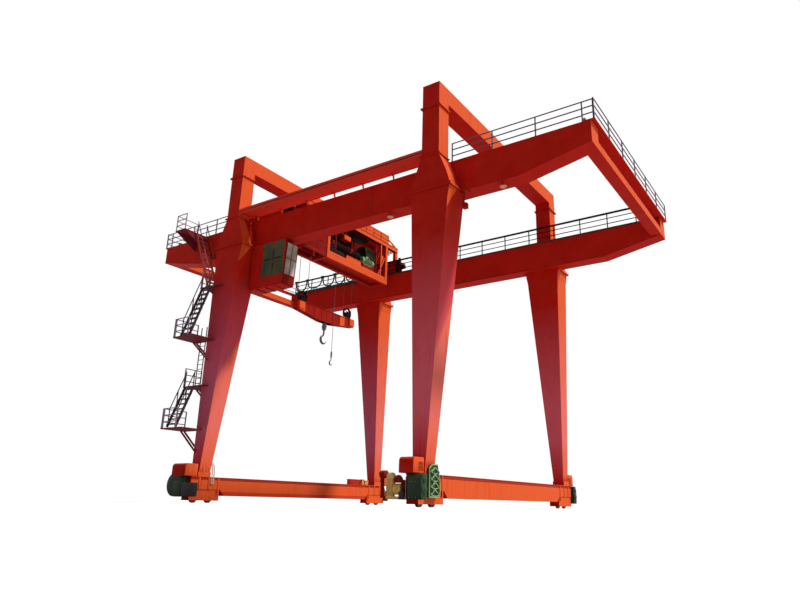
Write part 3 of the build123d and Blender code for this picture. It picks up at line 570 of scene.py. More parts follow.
def festoonLoops():
    top = box["cable_track"][1].z - festoon["carrierDrop"]
    cableY = (box["cable_track"][0].y * 2 + 0.130) / 2
    places = festoon["carrierX"]
    for number, depth in enumerate(festoon["depths"]):
        left = places[number] + festoon["legGap"] / 2
        reach = places[number + 1] - festoon["legGap"] / 2 - left
        points = [(left + reach * share, cableY, top - depth * fall) for share, fall in festoon["shares"]]
        curve = bpy.data.curves.new(f"festoonLoop{number + 1}", "CURVE")
        curve.dimensions = "3D"
        spline = curve.splines.new("NURBS")
        spline.points.add(len(points) - 1)
        for target, point in zip(spline.points, points):
            target.co = (*point, 1.0)
        spline.order_u = 3
        spline.use_endpoint_u = True
        spline.resolution_u = 12
        curve.bevel_depth = festoon["diameter"] / 2
        curve.bevel_resolution = 4
        curve.use_fill_caps = True
        curve.materials.append(look["rubber"])
        loop = bpy.data.objects.new(f"festoonLoop{number + 1}", curve)
        scene.collection.objects.link(loop)
        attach(loop, "crane")
        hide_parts("festoon_cables")


festoonLoops()
print("festoon cable hung")

# Forged hooks: a round bar swept along the bowl, thick at its belly and pointed at its tip.
hooks = {
    "mainHook": {"node": "main_hook", "body": "main_hook", "radius": 0.36, "wide": 0.19},
    "auxHook": {"node": "aux_hook", "body": "aux_hook", "radius": 0.19, "wide": 0.075}}


def forgedHook(name, values):
    low, high = box[values["node"]]
    middle = Vector(((low.x + high.x) / 2, 0, 0))
    radius = values["radius"]
    middle.y = low.y + 0.97 * radius
    bowl = Vector((middle.x, middle.y, low.z + 1.08 * radius))
    swing = radius * 0.76
    points, radii = [], []
    for step in range(25):
        t = step / 24
        turn = math.radians(98 + 250 * t)
        points.append(bowl + Vector((0, math.cos(turn) * swing, math.sin(turn) * swing)))
        belly = math.sin(min(1.0, t * 1.25) * math.pi)
        wide = radius * (0.15 + 0.11 * belly) * (1 - 0.62 * max(0.0, t - 0.72) / 0.28)
        radii.append((wide, wide * 0.85))
    stemTop = bowl.z + radius * 2.1
    neck = [Vector((middle.x, middle.y, stemTop)),
            Vector((middle.x, middle.y - radius * 0.02, bowl.z + radius * 1.3))]
    points = neck + points
    radii = [(radius * 0.17, radius * 0.17), (radius * 0.17, radius * 0.17)] + radii

    def fill(shape):
        addTube(shape, points, radii, 14)
        wide = values["wide"]
        blockLow = stemTop - radius * 0.2
        addLathe(shape, (middle.x, middle.y, blockLow), (0, 0, 1),
                 ((0, wide * 0.5), (0.02, wide * 0.75), (high.z - blockLow - 0.03, wide * 0.78),
                  (high.z - blockLow, wide * 0.6)), 28)
        for side in (-1, 1):
            addLathe(shape, (middle.x + side * wide * 0.5, middle.y, (blockLow + high.z) / 2), (side, 0, 0),
                     ((0, wide * 0.55), (wide * 0.32, wide * 0.5), (wide * 0.42, wide * 0.3)), 20)
    hook = makePiece(name, values["body"], "steel", fill)
    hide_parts(values["node"])


for name, values in hooks.items():
    forgedHook(name, values)
print("hooks forged")

# Geometry Nodes trees for what repeats. Each takes a mesh of points and grows one shape at every point.
def geometryTree(name, inputs):
    tree = bpy.data.node_groups.new(name, "GeometryNodeTree")
    tree.interface.new_socket("Geometry", in_out="INPUT", socket_type="NodeSocketGeometry")
    for label, kind, value in inputs:
        socket = tree.interface.new_socket(label, in_out="INPUT", socket_type=kind)
        if value is not None:
            socket.default_value = value
    tree.interface.new_socket("Material", in_out="INPUT", socket_type="NodeSocketMaterial")
    tree.interface.new_socket("Geometry", in_out="OUTPUT", socket_type="NodeSocketGeometry")
    return tree, addNode(tree, "NodeGroupInput"), addNode(tree, "NodeGroupOutput")


def plantAndFinish(tree, start, end, shape, rotation=None):
    plant = addNode(tree, "GeometryNodeInstanceOnPoints")
    link(tree, start.outputs["Geometry"], plant.inputs["Points"])
    link(tree, shape, plant.inputs["Instance"])
    if rotation:
        link(tree, rotation, plant.inputs["Rotation"])
    real = addNode(tree, "GeometryNodeRealizeInstances")
    link(tree, plant.outputs[0], real.inputs[0])
    paint = addNode(tree, "GeometryNodeSetMaterial")
    link(tree, real.outputs[0], paint.inputs["Geometry"])
    link(tree, start.outputs["Material"], paint.inputs["Material"])
    link(tree, paint.outputs[0], end.inputs["Geometry"])
    return tree


# Hexagon head on a washer, turned to the "facing" direction of its point and twisted at random.
def boltTree():
    tree, start, end = geometryTree("boltRows", [
        ("Head Radius", "NodeSocketFloat", 0.03), ("Head Height", "NodeSocketFloat", 0.03),
        ("Washer Radius", "NodeSocketFloat", 0.045), ("Seed", "NodeSocketInt", 3)])
    join = addNode(tree, "GeometryNodeJoinGeometry")
    washerHeight = addMath(tree, "MULTIPLY", start.outputs["Head Height"], 0.3)
    for sides, radius, height, base in ((6, "Head Radius", start.outputs["Head Height"], washerHeight),
                                        (10, "Washer Radius", washerHeight, None)):
        solid = addNode(tree, "GeometryNodeMeshCylinder")
        solid.inputs["Vertices"].default_value = sides
        link(tree, start.outputs[radius], solid.inputs["Radius"])
        link(tree, height, solid.inputs["Depth"])
        middle = addMath(tree, "MULTIPLY", height, 0.5)
        if base:
            middle = addMath(tree, "ADD", middle, base)
        offset = addNode(tree, "ShaderNodeCombineXYZ")
        link(tree, middle, offset.inputs[2])
        lift = addNode(tree, "GeometryNodeTransform")
        link(tree, solid.outputs["Mesh"], lift.inputs["Geometry"])
        link(tree, offset.outputs[0], lift.inputs["Translation"])
        link(tree, lift.outputs[0], join.inputs[0])
    facing = addNode(tree, "GeometryNodeInputNamedAttribute", data_type="FLOAT_VECTOR")
    facing.inputs["Name"].default_value = "facing"
    align = addNode(tree, "FunctionNodeAlignRotationToVector", axis="Z")
    link(tree, facing.outputs["Attribute"], align.inputs["Vector"])
    twist = addNode(tree, "FunctionNodeRandomValue", data_type="FLOAT")
    twist.inputs[3].default_value = 1.05
    link(tree, start.outputs["Seed"], twist.inputs["Seed"])
    spin = addNode(tree, "FunctionNodeAxisAngleToRotation")
    spin.inputs["Axis"].default_value = (0, 0, 1)
    link(tree, twist.outputs[1], spin.inputs["Angle"])
    turned = addNode(tree, "FunctionNodeRotateRotation", rotation_space="LOCAL")
    link(tree, align.outputs[0], turned.inputs["Rotation"])
    link(tree, spin.outputs[0], turned.inputs["Rotate By"])
    return plantAndFinish(tree, start, end, join.outputs[0], turned.outputs[0])


# Row of bars: one bar repeated by a step, for treads, rungs, slats and louvres.
def rowTree():
    tree, start, end = geometryTree("barRows", [
        ("Count", "NodeSocketInt", 8), ("Step", "NodeSocketVector", (0.1, 0, 0)),
        ("Size", "NodeSocketVector", (0.02, 0.5, 0.02))])
    line = addNode(tree, "GeometryNodeMeshLine", mode="OFFSET")
    link(tree, start.outputs["Count"], line.inputs["Count"])
    link(tree, start.outputs["Step"], line.inputs["Offset"])
    bar = addNode(tree, "GeometryNodeMeshCube")
    link(tree, start.outputs["Size"], bar.inputs["Size"])
    repeat = addNode(tree, "GeometryNodeInstanceOnPoints")
    link(tree, line.outputs[0], repeat.inputs["Points"])
    link(tree, bar.outputs["Mesh"], repeat.inputs["Instance"])
    return plantAndFinish(tree, start, end, repeat.outputs[0])


# Cooling fins that stand out all round a motor, lying along the way given by Turn.
def finTree():
    tree, start, end = geometryTree("coolingFins", [
        ("Count", "NodeSocketInt", 24), ("Radius", "NodeSocketFloat", 0.2),
        ("Fin Height", "NodeSocketFloat", 0.03), ("Fin Length", "NodeSocketFloat", 0.4),
        ("Thickness", "NodeSocketFloat", 0.012), ("Turn", "NodeSocketVector", (0, 0, 0))])
    ring = addNode(tree, "GeometryNodeMeshCircle")
    link(tree, start.outputs["Count"], ring.inputs["Vertices"])
    link(tree, start.outputs["Radius"], ring.inputs["Radius"])
    size = addNode(tree, "ShaderNodeCombineXYZ")
    for index, label in enumerate(("Fin Height", "Thickness", "Fin Length")):
        link(tree, start.outputs[label], size.inputs[index])
    fin = addNode(tree, "GeometryNodeMeshCube")
    link(tree, size.outputs[0], fin.inputs["Size"])
    align = addNode(tree, "FunctionNodeAlignRotationToVector", axis="X")
    link(tree, addNode(tree, "GeometryNodeInputPosition").outputs[0], align.inputs["Vector"])
    around = addNode(tree, "GeometryNodeInstanceOnPoints")
    link(tree, ring.outputs[0], around.inputs["Points"])
    link(tree, fin.outputs["Mesh"], around.inputs["Instance"])
    link(tree, align.outputs[0], around.inputs["Rotation"])
    lay = addNode(tree, "GeometryNodeTransform")
    link(tree, around.outputs[0], lay.inputs["Geometry"])
    link(tree, start.outputs["Turn"], lay.inputs["Rotation"])
    return plantAndFinish(tree, start, end, lay.outputs[0])


# Rope wound on the drum as one helix, its pitch set by the number of turns.
def windingTree():
    tree, start, end = geometryTree("ropeWinding", [
        ("Turns", "NodeSocketFloat", 40.0), ("Drum Radius", "NodeSocketFloat", 0.4),
        ("Rope Radius", "NodeSocketFloat", 0.02), ("Length", "NodeSocketFloat", 2.5)])
    helix = addNode(tree, "GeometryNodeCurveSpiral")
    helix.inputs["Resolution"].default_value = 24
    link(tree, start.outputs["Turns"], helix.inputs["Rotations"])
    for label in ("Start Radius", "End Radius"):
        link(tree, start.outputs["Drum Radius"], helix.inputs[label])
    link(tree, start.outputs["Length"], helix.inputs["Height"])
    section = addNode(tree, "GeometryNodeCurvePrimitiveCircle")
    section.inputs["Resolution"].default_value = 6
    link(tree, start.outputs["Rope Radius"], section.inputs["Radius"])
    rope = addNode(tree, "GeometryNodeCurveToMesh")
    rope.inputs["Fill Caps"].default_value = True
    link(tree, helix.outputs[0], rope.inputs["Curve"])
    link(tree, section.outputs[0], rope.inputs["Profile Curve"])
    lay = addNode(tree, "GeometryNodeTransform")
    lay.inputs["Rotation"].default_value = (-math.pi / 2, 0, 0)
    link(tree, rope.outputs[0], lay.inputs["Geometry"])
    return plantAndFinish(tree, start, end, lay.outputs[0])


trees = {"bolts": boltTree(), "rows": rowTree(), "fins": finTree(), "winding": windingTree()}


def grow(name, treeName, body, material, points, values, facing=None, angle=35.0):
    mesh = bpy.data.meshes.new(name)
    mesh.from_pydata([tuple(p) for p in points], [], [])
    if facing:
        rows = mesh.attributes.new("facing", "FLOAT_VECTOR", "POINT")
        for row, value in zip(rows.data, facing):
            row.vector = value
    obj = bpy.data.objects.new(name, mesh)
    scene.collection.objects.link(obj)
    modifier = obj.modifiers.new("grow", "NODES")
    modifier.node_group = trees[treeName]
    values = dict(values, Material=look[material])
    for item in trees[treeName].interface.items_tree:
        if item.item_type == "SOCKET" and item.in_out == "INPUT" and item.name in values:
            modifier[item.identifier] = values[item.name]
    evaluated(obj)
    obj.data.shade_smooth()
    obj.data.set_sharp_from_angle(angle=math.radians(angle))
    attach(obj, body)
    return obj


# Points round a rectangle at an even pitch, on its centre line.
def aroundRectangle(x0, x1, y0, y1, pitch):
    places = []
    for (ax, ay), (bx, by) in (((x0, y0), (x1, y0)), ((x1, y0), (x1, y1)), ((x1, y1), (x0, y1)),
                               ((x0, y1), (x0, y0))):
        count = max(1, round(math.hypot(bx - ax, by - ay) / pitch))
        places += [(ax + (bx - ax) * i / count, ay + (by - ay) * i / count) for i in range(count)]
    return places


corners = [(sx, sy) for sx in (-1, 1) for sy in (-1, 1)]

# Bolted joints: column flanges, the plates at the leg heads, web splices and the rail clips.
joints = {"lip": 0.045, "flange": 0.060, "columnPitch": 0.20, "legPitch": 0.24, "headRadius": 0.028,
          "headHeight": 0.034, "washerRadius": 0.040, "legPlateX": 1.235, "legPlateY": 7.845,
          "spliceX": (-8.68, 2.77, 8.68), "spliceWidth": 0.30, "spliceProud": 0.014, "clipPitch": 0.60}


def boltJoints():
    high = box["columns"][1]
    half = high.x - frameX
    outer = high.y
    inner = outer - 0.945 - 0.18
    points, facing = [], []
    for sx, sy in corners:
        ring = aroundRectangle(-half + joints["lip"], half - joints["lip"], inner + joints["lip"],
                               outer - joints["lip"], joints["columnPitch"])
        for x, y in ring:
            for z, way in ((girderTop + joints["flange"], 1), (columnTop, 1),
                           (high.z - joints["flange"], -1)):
                if z > high.z + 0.001 and way > 0:
                    continue
                points.append((sx * frameX + x, sy * y, z))
                facing.append((0, 0, way))
    sizes = {"Head Radius": joints["headRadius"], "Head Height": joints["headHeight"],
             "Washer Radius": joints["washerRadius"], "Seed": 5}
    grow("columnBolts", "bolts", "crane", "shaded", points, sizes, facing)
    points, facing = [], []
    plateTop, plateLow = girderBottom + 0.060, girderBottom - 0.060
    for sx, sy in corners:
        count = round(2 * joints["legPlateX"] / joints["legPitch"])
        line = [(joints["legPlateX"] * (2 * i / count - 1), joints["legPlateY"]) for i in range(count + 1)]
        side = [(way * joints["legPlateX"], y) for way in (-1, 1) for y in (6.95, 7.17, 7.39, 7.61)]
        for x, y in line + side:
            for z, way in ((plateTop, 1), (plateLow, -1)):
                points.append((sx * frameX + x, sy * y, z))
                facing.append((0, 0, way))
    grow("legHeadBolts", "bolts", "crane", "shaded", points, sizes, facing)
    points, facing = [], []
    for sy in (-1, 1):
        for place in joints["spliceX"]:
            for step in range(11):
                z = girderBottom + 0.12 + step * 0.16
                for shift in (-0.10, -0.05, 0.05, 0.10):
                    points.append((place + shift, sy * (girderOuter + joints["spliceProud"]), z))
                    facing.append((0, sy, 0))
    grow("spliceBolts", "bolts", "crane", "gantry", points,
         dict(sizes, **{"Head Radius": 0.016, "Head Height": 0.018, "Washer Radius": 0.022}), facing)
    points, facing = [], []
    railY = girderInner + 0.320
    count = round(29.6 / joints["clipPitch"])
    for sy in (-1, 1):
        for step in range(count + 1):
            for side in (-0.075, 0.075):
                points.append((-14.8 + step * joints["clipPitch"], sy * railY + side, girderTop))
                facing.append((0, 0, 1))
    grow("railClips", "bolts", "crane", "steel", points,
         dict(sizes, **{"Head Radius": 0.026, "Head Height": 0.04, "Washer Radius": 0.036}), facing)

    def plates(shape):
        for sy in (-1, 1):
            for place in joints["spliceX"]:
                half = joints["spliceWidth"] / 2
                outer = sy * (girderOuter + joints["spliceProud"])
                addBox(shape, (place - half, min(outer, sy * (girderOuter - 0.02)), girderBottom + 0.03),
                       (place + half, max(outer, sy * (girderOuter - 0.02)), girderTop - 0.03))
    makePiece("splicePlates", "crane", "shaded", plates, bevel=0.006)


boltJoints()
print("bolted joints grown")

# Girder trim: plate edges that stand proud of the webs, the cable tray and the lamps underneath.
trim = {"lip": 0.022, "plate": 0.028, "endX": 15.48, "taperX": 11.79, "endLow": 15.979, "trayTop": 17.22,
        "lampX": (4.0, 10.85), "lampY": 6.45, "thickTray": (-15.0, -8.25)}


def girderTrim():
    def lips(shape):
        for sy in (-1, 1):
            for inner, outer in ((girderOuter - 0.01, girderOuter + trim["lip"]),
                                 (girderInner - trim["lip"], girderInner + 0.01)):
                low, high = sorted((sy * inner, sy * outer))
                addBox(shape, (-trim["endX"], low, girderTop - trim["plate"]),
                       (trim["endX"], high, girderTop))
                under = [(-trim["endX"], trim["endLow"]), (-trim["taperX"], girderBottom),
                         (trim["taperX"], girderBottom), (trim["endX"], trim["endLow"])]
                outline = under + [(x, z + trim["plate"]) for x, z in reversed(under)]
                addPrism(shape, outline, "y", low, high)
    makePiece("girderFlangeEdges", "crane", "gantry", lips, bevel=0.004)

    def tray(shape):
        y0, y1 = girderInner - 0.045, girderInner + 0.004
        addBox(shape, (-trim["endX"], y0, girderTop - 0.05), (trim["endX"], y1, girderTop + 0.035))
        addBox(shape, (trim["thickTray"][0], y0 - 0.03, girderTop - 0.10),
               (trim["thickTray"][1], y1, trim["trayTop"]))
        for step in range(18):
            x = trim["thickTray"][0] + 0.15 + step * 0.38
            addBox(shape, (x, y0 - 0.05, girderTop - 0.12), (x + 0.05, y1, trim["trayTop"] + 0.02))
    makePiece("cableTray", "crane", "rubber", tray, bevel=0.004)

    def lampCases(shape):
        for x in trim["lampX"]:
            place = Vector((x, -trim["lampY"], girderBottom))
            addLathe(shape, place, (0, 0, -1), ((-0.01, 0.05), (0.05, 0.05), (0.08, 0.11), (0.20, 0.19),
                                                (0.22, 0.19)), 20)
    makePiece("lampCases", "crane", "gantry", lampCases)

    def lampGlass(shape):
        for x in trim["lampX"]:
            place = Vector((x, -trim["lampY"], girderBottom - 0.215))
            addLathe(shape, place, (0, 0, -1), ((0, 0.18), (0.03, 0.16), (0.05, 0.10), (0.06, 0.03)), 20)
    makePiece("lampGlasses", "crane", "lens", lampGlass)

    def bracket(shape):
        x0, y0 = frameX + 1.28, -6.85
        addBox(shape, (x0 - 0.10, y0, girderBottom - 0.06), (x0 + 0.30, y0 + 0.45, girderBottom - 0.005))
        addBox(shape, (x0 + 0.02, y0 + 0.08, girderBottom - 0.75),
               (x0 + 0.12, y0 + 0.18, girderBottom - 0.04))
        addBox(shape, (x0 + 0.02, y0 + 0.05, girderBottom - 1.00),
               (x0 + 0.26, y0 + 0.30, girderBottom - 0.72))
    makePiece("headLampBracket", "crane", "shaded", bracket, bevel=0.012)


girderTrim()
print("girder edges, tray and lamps made")

# Walkway between the near columns: deck plate, toe boards, brackets and tread bars.
walkway = {"low": 17.409, "high": 17.459, "outer": 7.80, "inner": 6.715, "endX": 6.892, "toe": 0.15,
           "drop": 0.12, "board": 0.012, "bracket": 0.030, "brackets": 7, "treadPitch": 0.12}


def nearWalkway():
    def deck(shape):
        outer, inner, x = -walkway["outer"], -walkway["inner"], walkway["endX"]
        addBox(shape, (-x, outer, walkway["low"]), (x, inner, walkway["high"]))
        addBox(shape, (-x, outer, walkway["low"] - walkway["drop"]),
               (x, outer + walkway["board"], walkway["high"] + walkway["toe"]))
        addBox(shape, (-x, inner - walkway["board"], walkway["low"] - 0.06),
               (x, inner, walkway["high"] + walkway["toe"]))
        for step in range(walkway["brackets"]):
            place = (x - 0.5) * (2 * step / (walkway["brackets"] - 1) - 1)
            outline = [(-girderOuter + 0.12, girderTop), (-girderOuter + 0.12, walkway["low"]),
                       (-girderOuter - 0.30, walkway["low"]), (-girderOuter - 0.02, walkway["low"] - 0.10),
                       (-girderOuter + 0.04, girderTop)]
            addPrism(shape, outline, "x", place - walkway["bracket"] / 2, place + walkway["bracket"] / 2)
    piece = makePiece("nearWalkway", "crane", "walk", deck)
    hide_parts("near_walkway")
    count = int(2 * walkway["endX"] / walkway["treadPitch"])
    grow("walkwayTreadBars", "rows", "crane", "walk",
         [(-walkway["endX"] + 0.05, -(walkway["outer"] + walkway["inner"]) / 2, walkway["high"] + 0.006)],
         {"Count": count, "Step": (walkway["treadPitch"], 0, 0),
          "Size": (0.02, walkway["outer"] - walkway["inner"] - 0.04, 0.012)})


nearWalkway()
print("near walkway made")

# Travel drives at the four corners: gear case, ribbed motor, brake dome and terminal box.
drives = {"reach": (-0.12, 0.520), "nearReach": (0.04, 0.74), "inner": 0.12, "motorY": 8.97, "motorZ": 0.822,
          "case": ((8.745, 0.30), (9.12, 0.30), (9.195, 0.42), (9.195, 1.10), (9.06, 1.344), (8.745, 1.344)),
          "ribY": (8.78, 9.16), "ribZ": (0.52, 0.82, 1.12), "ribProud": 0.012, "ribHalf": 0.014,
          "hubY": 8.96, "hubs": ((0.72, 0.20), (1.10, 0.13)), "foot": (0.30, 0.62), "footHalf": 0.20,
          "controlBox": ((-7.26, -9.19, 0.31), (-6.42, -8.78, 1.02)),
          "fins": {"Count": 26, "Radius": 0.192, "Fin Height": 0.032, "Fin Length": 0.20, "Thickness": 0.010}}
leftHousing = {"start": (-7.96, -8.70, 0.93), "box": ((-8.02, -9.17, 0.33), (-7.40, -8.72, 1.47)),
               "profile": ((0, 0.57), (0.02, 0.62), (0.44, 0.62), (0.47, 0.55), (0.49, 0.30)),
               "boltRing": (-8.02, -9.165, 0.90), "boltCircle": 0.46, "bolts": 8}
nearDrive = {
    "y": -8.97, "uprightX": 6.45, "uprightFoot": 0.34, "levelX": 6.69, "levelZ": 0.72,
    "upright": ((0, 0.14), (0.02, 0.20), (0.10, 0.20), (0.11, 0.165), (0.80, 0.165), (0.81, 0.20),
                (0.95, 0.20), (1.04, 0.15), (1.07, 0.06)),
    "level": ((0, 0.12), (0.01, 0.22), (0.06, 0.225), (0.07, 0.20), (0.30, 0.20), (0.31, 0.225),
              (0.36, 0.225), (0.37, 0.15)),
    "seat": ((6.28, -9.10, 0.31), (7.06, -8.84, 0.42)),
    "uprightFins": {"Radius": 0.183, "Fin Length": 0.66, "Turn": (0, 0, 0)}, "uprightFinZ": 0.80,
    "levelFins": {"Radius": 0.212, "Fin Length": 0.22, "Turn": (0, math.pi / 2, 0)}, "levelFinX": 6.875,
    "fins": {"Count": 28, "Thickness": 0.011, "Fin Height": 0.036},
    "domeX": 6.84, "domeZ": 0.98, "domeRadius": 0.21, "domeRise": 0.28, "brakeX": 5.90, "brakeZ": 1.33,
    "brake": ((0, 0.12), (0.02, 0.165), (0.10, 0.17), (0.30, 0.17), (0.33, 0.12)),
    "plates": (((6.18, -9.05, 1.22), (6.36, -8.89, 1.34)), ((7.10, -9.16, 0.30), (7.14, -8.78, 1.10)),
               ((5.95, -9.04, 0.40), (6.05, -8.90, 1.20)), ((5.95, -9.04, 0.36), (7.30, -8.90, 0.42))),
    "guard": ((7.36, -9.17, 0.30), (7.36, -9.17, 1.20), (7.36, -8.86, 1.30)), "guardRadius": 0.016}
alongX = (0, math.pi / 2, 0)  # lays a ring of fins along X
farCorners = [(1, 1), (-1, 1)]


# Quarter-round cap for a turned piece, from its rim up.
def domeProfile(base, radius, rise, steps=6):
    turns = [step * math.pi / 12 for step in range(1, steps)]
    return [(base + rise * math.sin(turn), radius * math.cos(turn)) for turn in turns]


def nearRightDrive():
    y = nearDrive["y"]

    def motors(shape):
        addLathe(shape, (nearDrive["uprightX"], y, nearDrive["uprightFoot"]), (0, 0, 1),
                 nearDrive["upright"], 26)
        addLathe(shape, (nearDrive["levelX"], y, nearDrive["levelZ"]), (1, 0, 0), nearDrive["level"], 26)
        addBox(shape, *nearDrive["seat"])
    makePiece("yellowMotors", "crane", "yellow", motors, bevel=0.006)
    grow("uprightMotorFins", "fins", "crane", "yellow",
         [(nearDrive["uprightX"], y, nearDrive["uprightFinZ"])],
         dict(nearDrive["fins"], **nearDrive["uprightFins"]))
    grow("levelMotorFins", "fins", "crane", "yellow",
         [(nearDrive["levelFinX"], y, nearDrive["levelZ"])],
         dict(nearDrive["fins"], **nearDrive["levelFins"]))

    def brakes(shape):
        cap = [(0, 0.20), (0.05, nearDrive["domeRadius"])]
        cap += domeProfile(0.05, nearDrive["domeRadius"], nearDrive["domeRise"])
        addLathe(shape, (nearDrive["domeX"], y, nearDrive["domeZ"]), (0, 0, 1), cap, 26)
        addLathe(shape, (nearDrive["brakeX"], y, nearDrive["brakeZ"]), (1, 0, 0), nearDrive["brake"], 22)
        addBoxes(shape, nearDrive["plates"])
    makePiece("nearBrakes", "crane", "oxide", brakes, bevel=0.006)

    def guardBar(shape):
        foot, knee, end = nearDrive["guard"]
        addBar(shape, foot, knee, nearDrive["guardRadius"], 8)
        addBar(shape, knee, end, nearDrive["guardRadius"], 8)
    makePiece("driveGuardBar", "crane", "pink", guardBar)


def travelDrives():
    def cases(shape):
        for sx, sy in corners:
            reach = drives["nearReach"] if (sx, sy) == (1, -1) else drives["reach"]
            outer = sx * (frameX + reach[1])
            x0, x1 = sorted(sx * (frameX + place) for place in reach)
            addPrism(shape, [(sy * y, z) for y, z in drives["case"]], "x", x0, x1)
            y0, y1 = span(sy, *drives["ribY"])
            proud, half = drives["ribProud"], drives["ribHalf"]
            for z in drives["ribZ"]:
                addBox(shape, (x0 - proud, y0, z - half), (x1 + proud, y1, z + half))
            for z, radius in drives["hubs"]:
                hub = ((0, radius), (0.035, radius), (0.05, radius * 0.8), (0.05, radius * 0.4),
                       (0.07, radius * 0.3))
                addLathe(shape, (outer - sx * 0.01, sy * drives["hubY"], z), (sx, 0, 0), hub, 18)
        addLathe(shape, leftHousing["start"], (0, -1, 0), leftHousing["profile"], 28)
        addBox(shape, *leftHousing["box"])
        for step in range(leftHousing["bolts"]):
            turn = step * 2 * math.pi / leftHousing["bolts"]
            way = Vector((math.cos(turn), 0, math.sin(turn)))
            addLathe(shape, Vector(leftHousing["boltRing"]) + way * leftHousing["boltCircle"], (0, -1, 0),
                     ((0, 0.03), (0.02, 0.03), (0.024, 0.015)), 8)
    makePiece("gearCases", "crane", "darkGreen", cases, bevel=0.016)

    def couplings(shape):
        for sx, sy in corners:
            inner = sx * (frameX - drives["inner"])
            y = sy * drives["motorY"]
            addLathe(shape, (inner, y, drives["motorZ"]), (-sx, 0, 0),
                     ((0, 0.16), (0.05, 0.16), (0.06, 0.12), (0.16, 0.12), (0.17, 0.205), (0.20, 0.205)), 22)
            x0, x1 = sorted((inner - sx * 0.30, inner - sx * 0.04))
            half = drives["footHalf"]
            addBox(shape, (x0, y - half, drives["foot"][0]), (x1, y + half, drives["foot"][1]))
    makePiece("driveCouplings", "crane", "rubber", couplings, bevel=0.008)
    nearRightDrive()

    def farMotors(shape):
        for sx, sy in farCorners:
            inner = sx * (frameX - drives["inner"])
            y, z = sy * drives["motorY"], drives["motorZ"]
            addLathe(shape, (inner - sx * 0.20, y, z), (-sx, 0, 0),
                     ((0, 0.205), (0.03, 0.205), (0.04, 0.17), (0.40, 0.17), (0.41, 0.20), (0.43, 0.20)), 24)
            addLathe(shape, (inner - sx * 0.72, y, z), (-sx, 0, 0),
                     ((0, 0.19), (0.02, 0.205), (0.19, 0.205), (0.22, 0.16), (0.23, 0.05)), 24)
            low, high = sorted((inner - sx * 0.95, inner - sx * 0.78))
            addBox(shape, (low, y - 0.13, z + 0.15), (high, y + 0.13, z + 0.42))
            for shift in (0.28, 0.56):
                low, high = sorted((inner - sx * shift, inner - sx * (shift + 0.06)))
                addBox(shape, (low, y - 0.19, 0.58), (high, y + 0.19, z - 0.10))
    makePiece("orangeMotors", "crane", "amber", farMotors, bevel=0.008)
    points = [(sx * (frameX - drives["inner"]) - sx * shift, sy * drives["motorY"], drives["motorZ"])
              for shift in (0.42, 0.825) for sx, sy in farCorners]
    grow("orangeMotorsFins", "fins", "crane", "amber", points,
         dict(drives["fins"], Turn=alongX))

    def domes(shape):
        for sx, sy in farCorners:
            inner = sx * (frameX - drives["inner"])
            y, z = sy * drives["motorY"], drives["motorZ"]
            addLathe(shape, (inner - sx * 0.62, y, z), (-sx, 0, 0),
                     ((0, 0.20), (0.02, 0.215), (0.08, 0.215), (0.10, 0.19)), 24)
            addLathe(shape, (inner - sx * 0.45, y, z + 0.17), (0, 0, 1),
                     [(0, 0.17)] + domeProfile(0, 0.17, 0.26), 22)
    makePiece("brakeDomes", "crane", "oxide", domes)

    def controlBox(shape):
        addBox(shape, *drives["controlBox"])
    hub = makePiece("controlBox", "crane", "rubber", controlBox, bevel=0.02)
    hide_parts("travel_drives")
    points, facing = [], []
    for sx, sy in corners:
        for x in (-0.06, 0.14, 0.30, 0.46):
            for z in (0.38, 1.02):
                points.append((sx * (frameX + x), sy * 9.195, z))
                facing.append((0, sy, 0))
    grow("driveBolts", "bolts", "crane", "steel", points,
         {"Head Radius": 0.018, "Head Height": 0.02, "Washer Radius": 0.026, "Seed": 8}, facing)


travelDrives()
print("travel drives made")

# End hoods over the drives: rounded covers with a hatch, a grab handle and louvres.
hoods = {"start": 8.365, "end": 9.225, "low": 1.374, "high": 2.044, "half": 0.336, "inset": 0.012,
         "back": 0.03, "roundFrom": 1.86, "roundOut": 0.18, "roundUp": 0.184, "leftStart": -8.22,
         "rightStart": 6.98, "hatchHalf": 0.22, "hatch": (1.46, 1.84), "skirt": (8.37, 9.20),
         "skirtTop": 1.40, "handleZ": 1.74, "handleHalf": 0.10, "handleRadius": 0.009, "eyes": (8.52, 9.02),
         "louvreY": 8.62, "louvreZ": 1.50,
         "louvres": {"Count": 7, "Step": (0, 0, 0.055), "Size": (0.014, 0.36, 0.022)}}


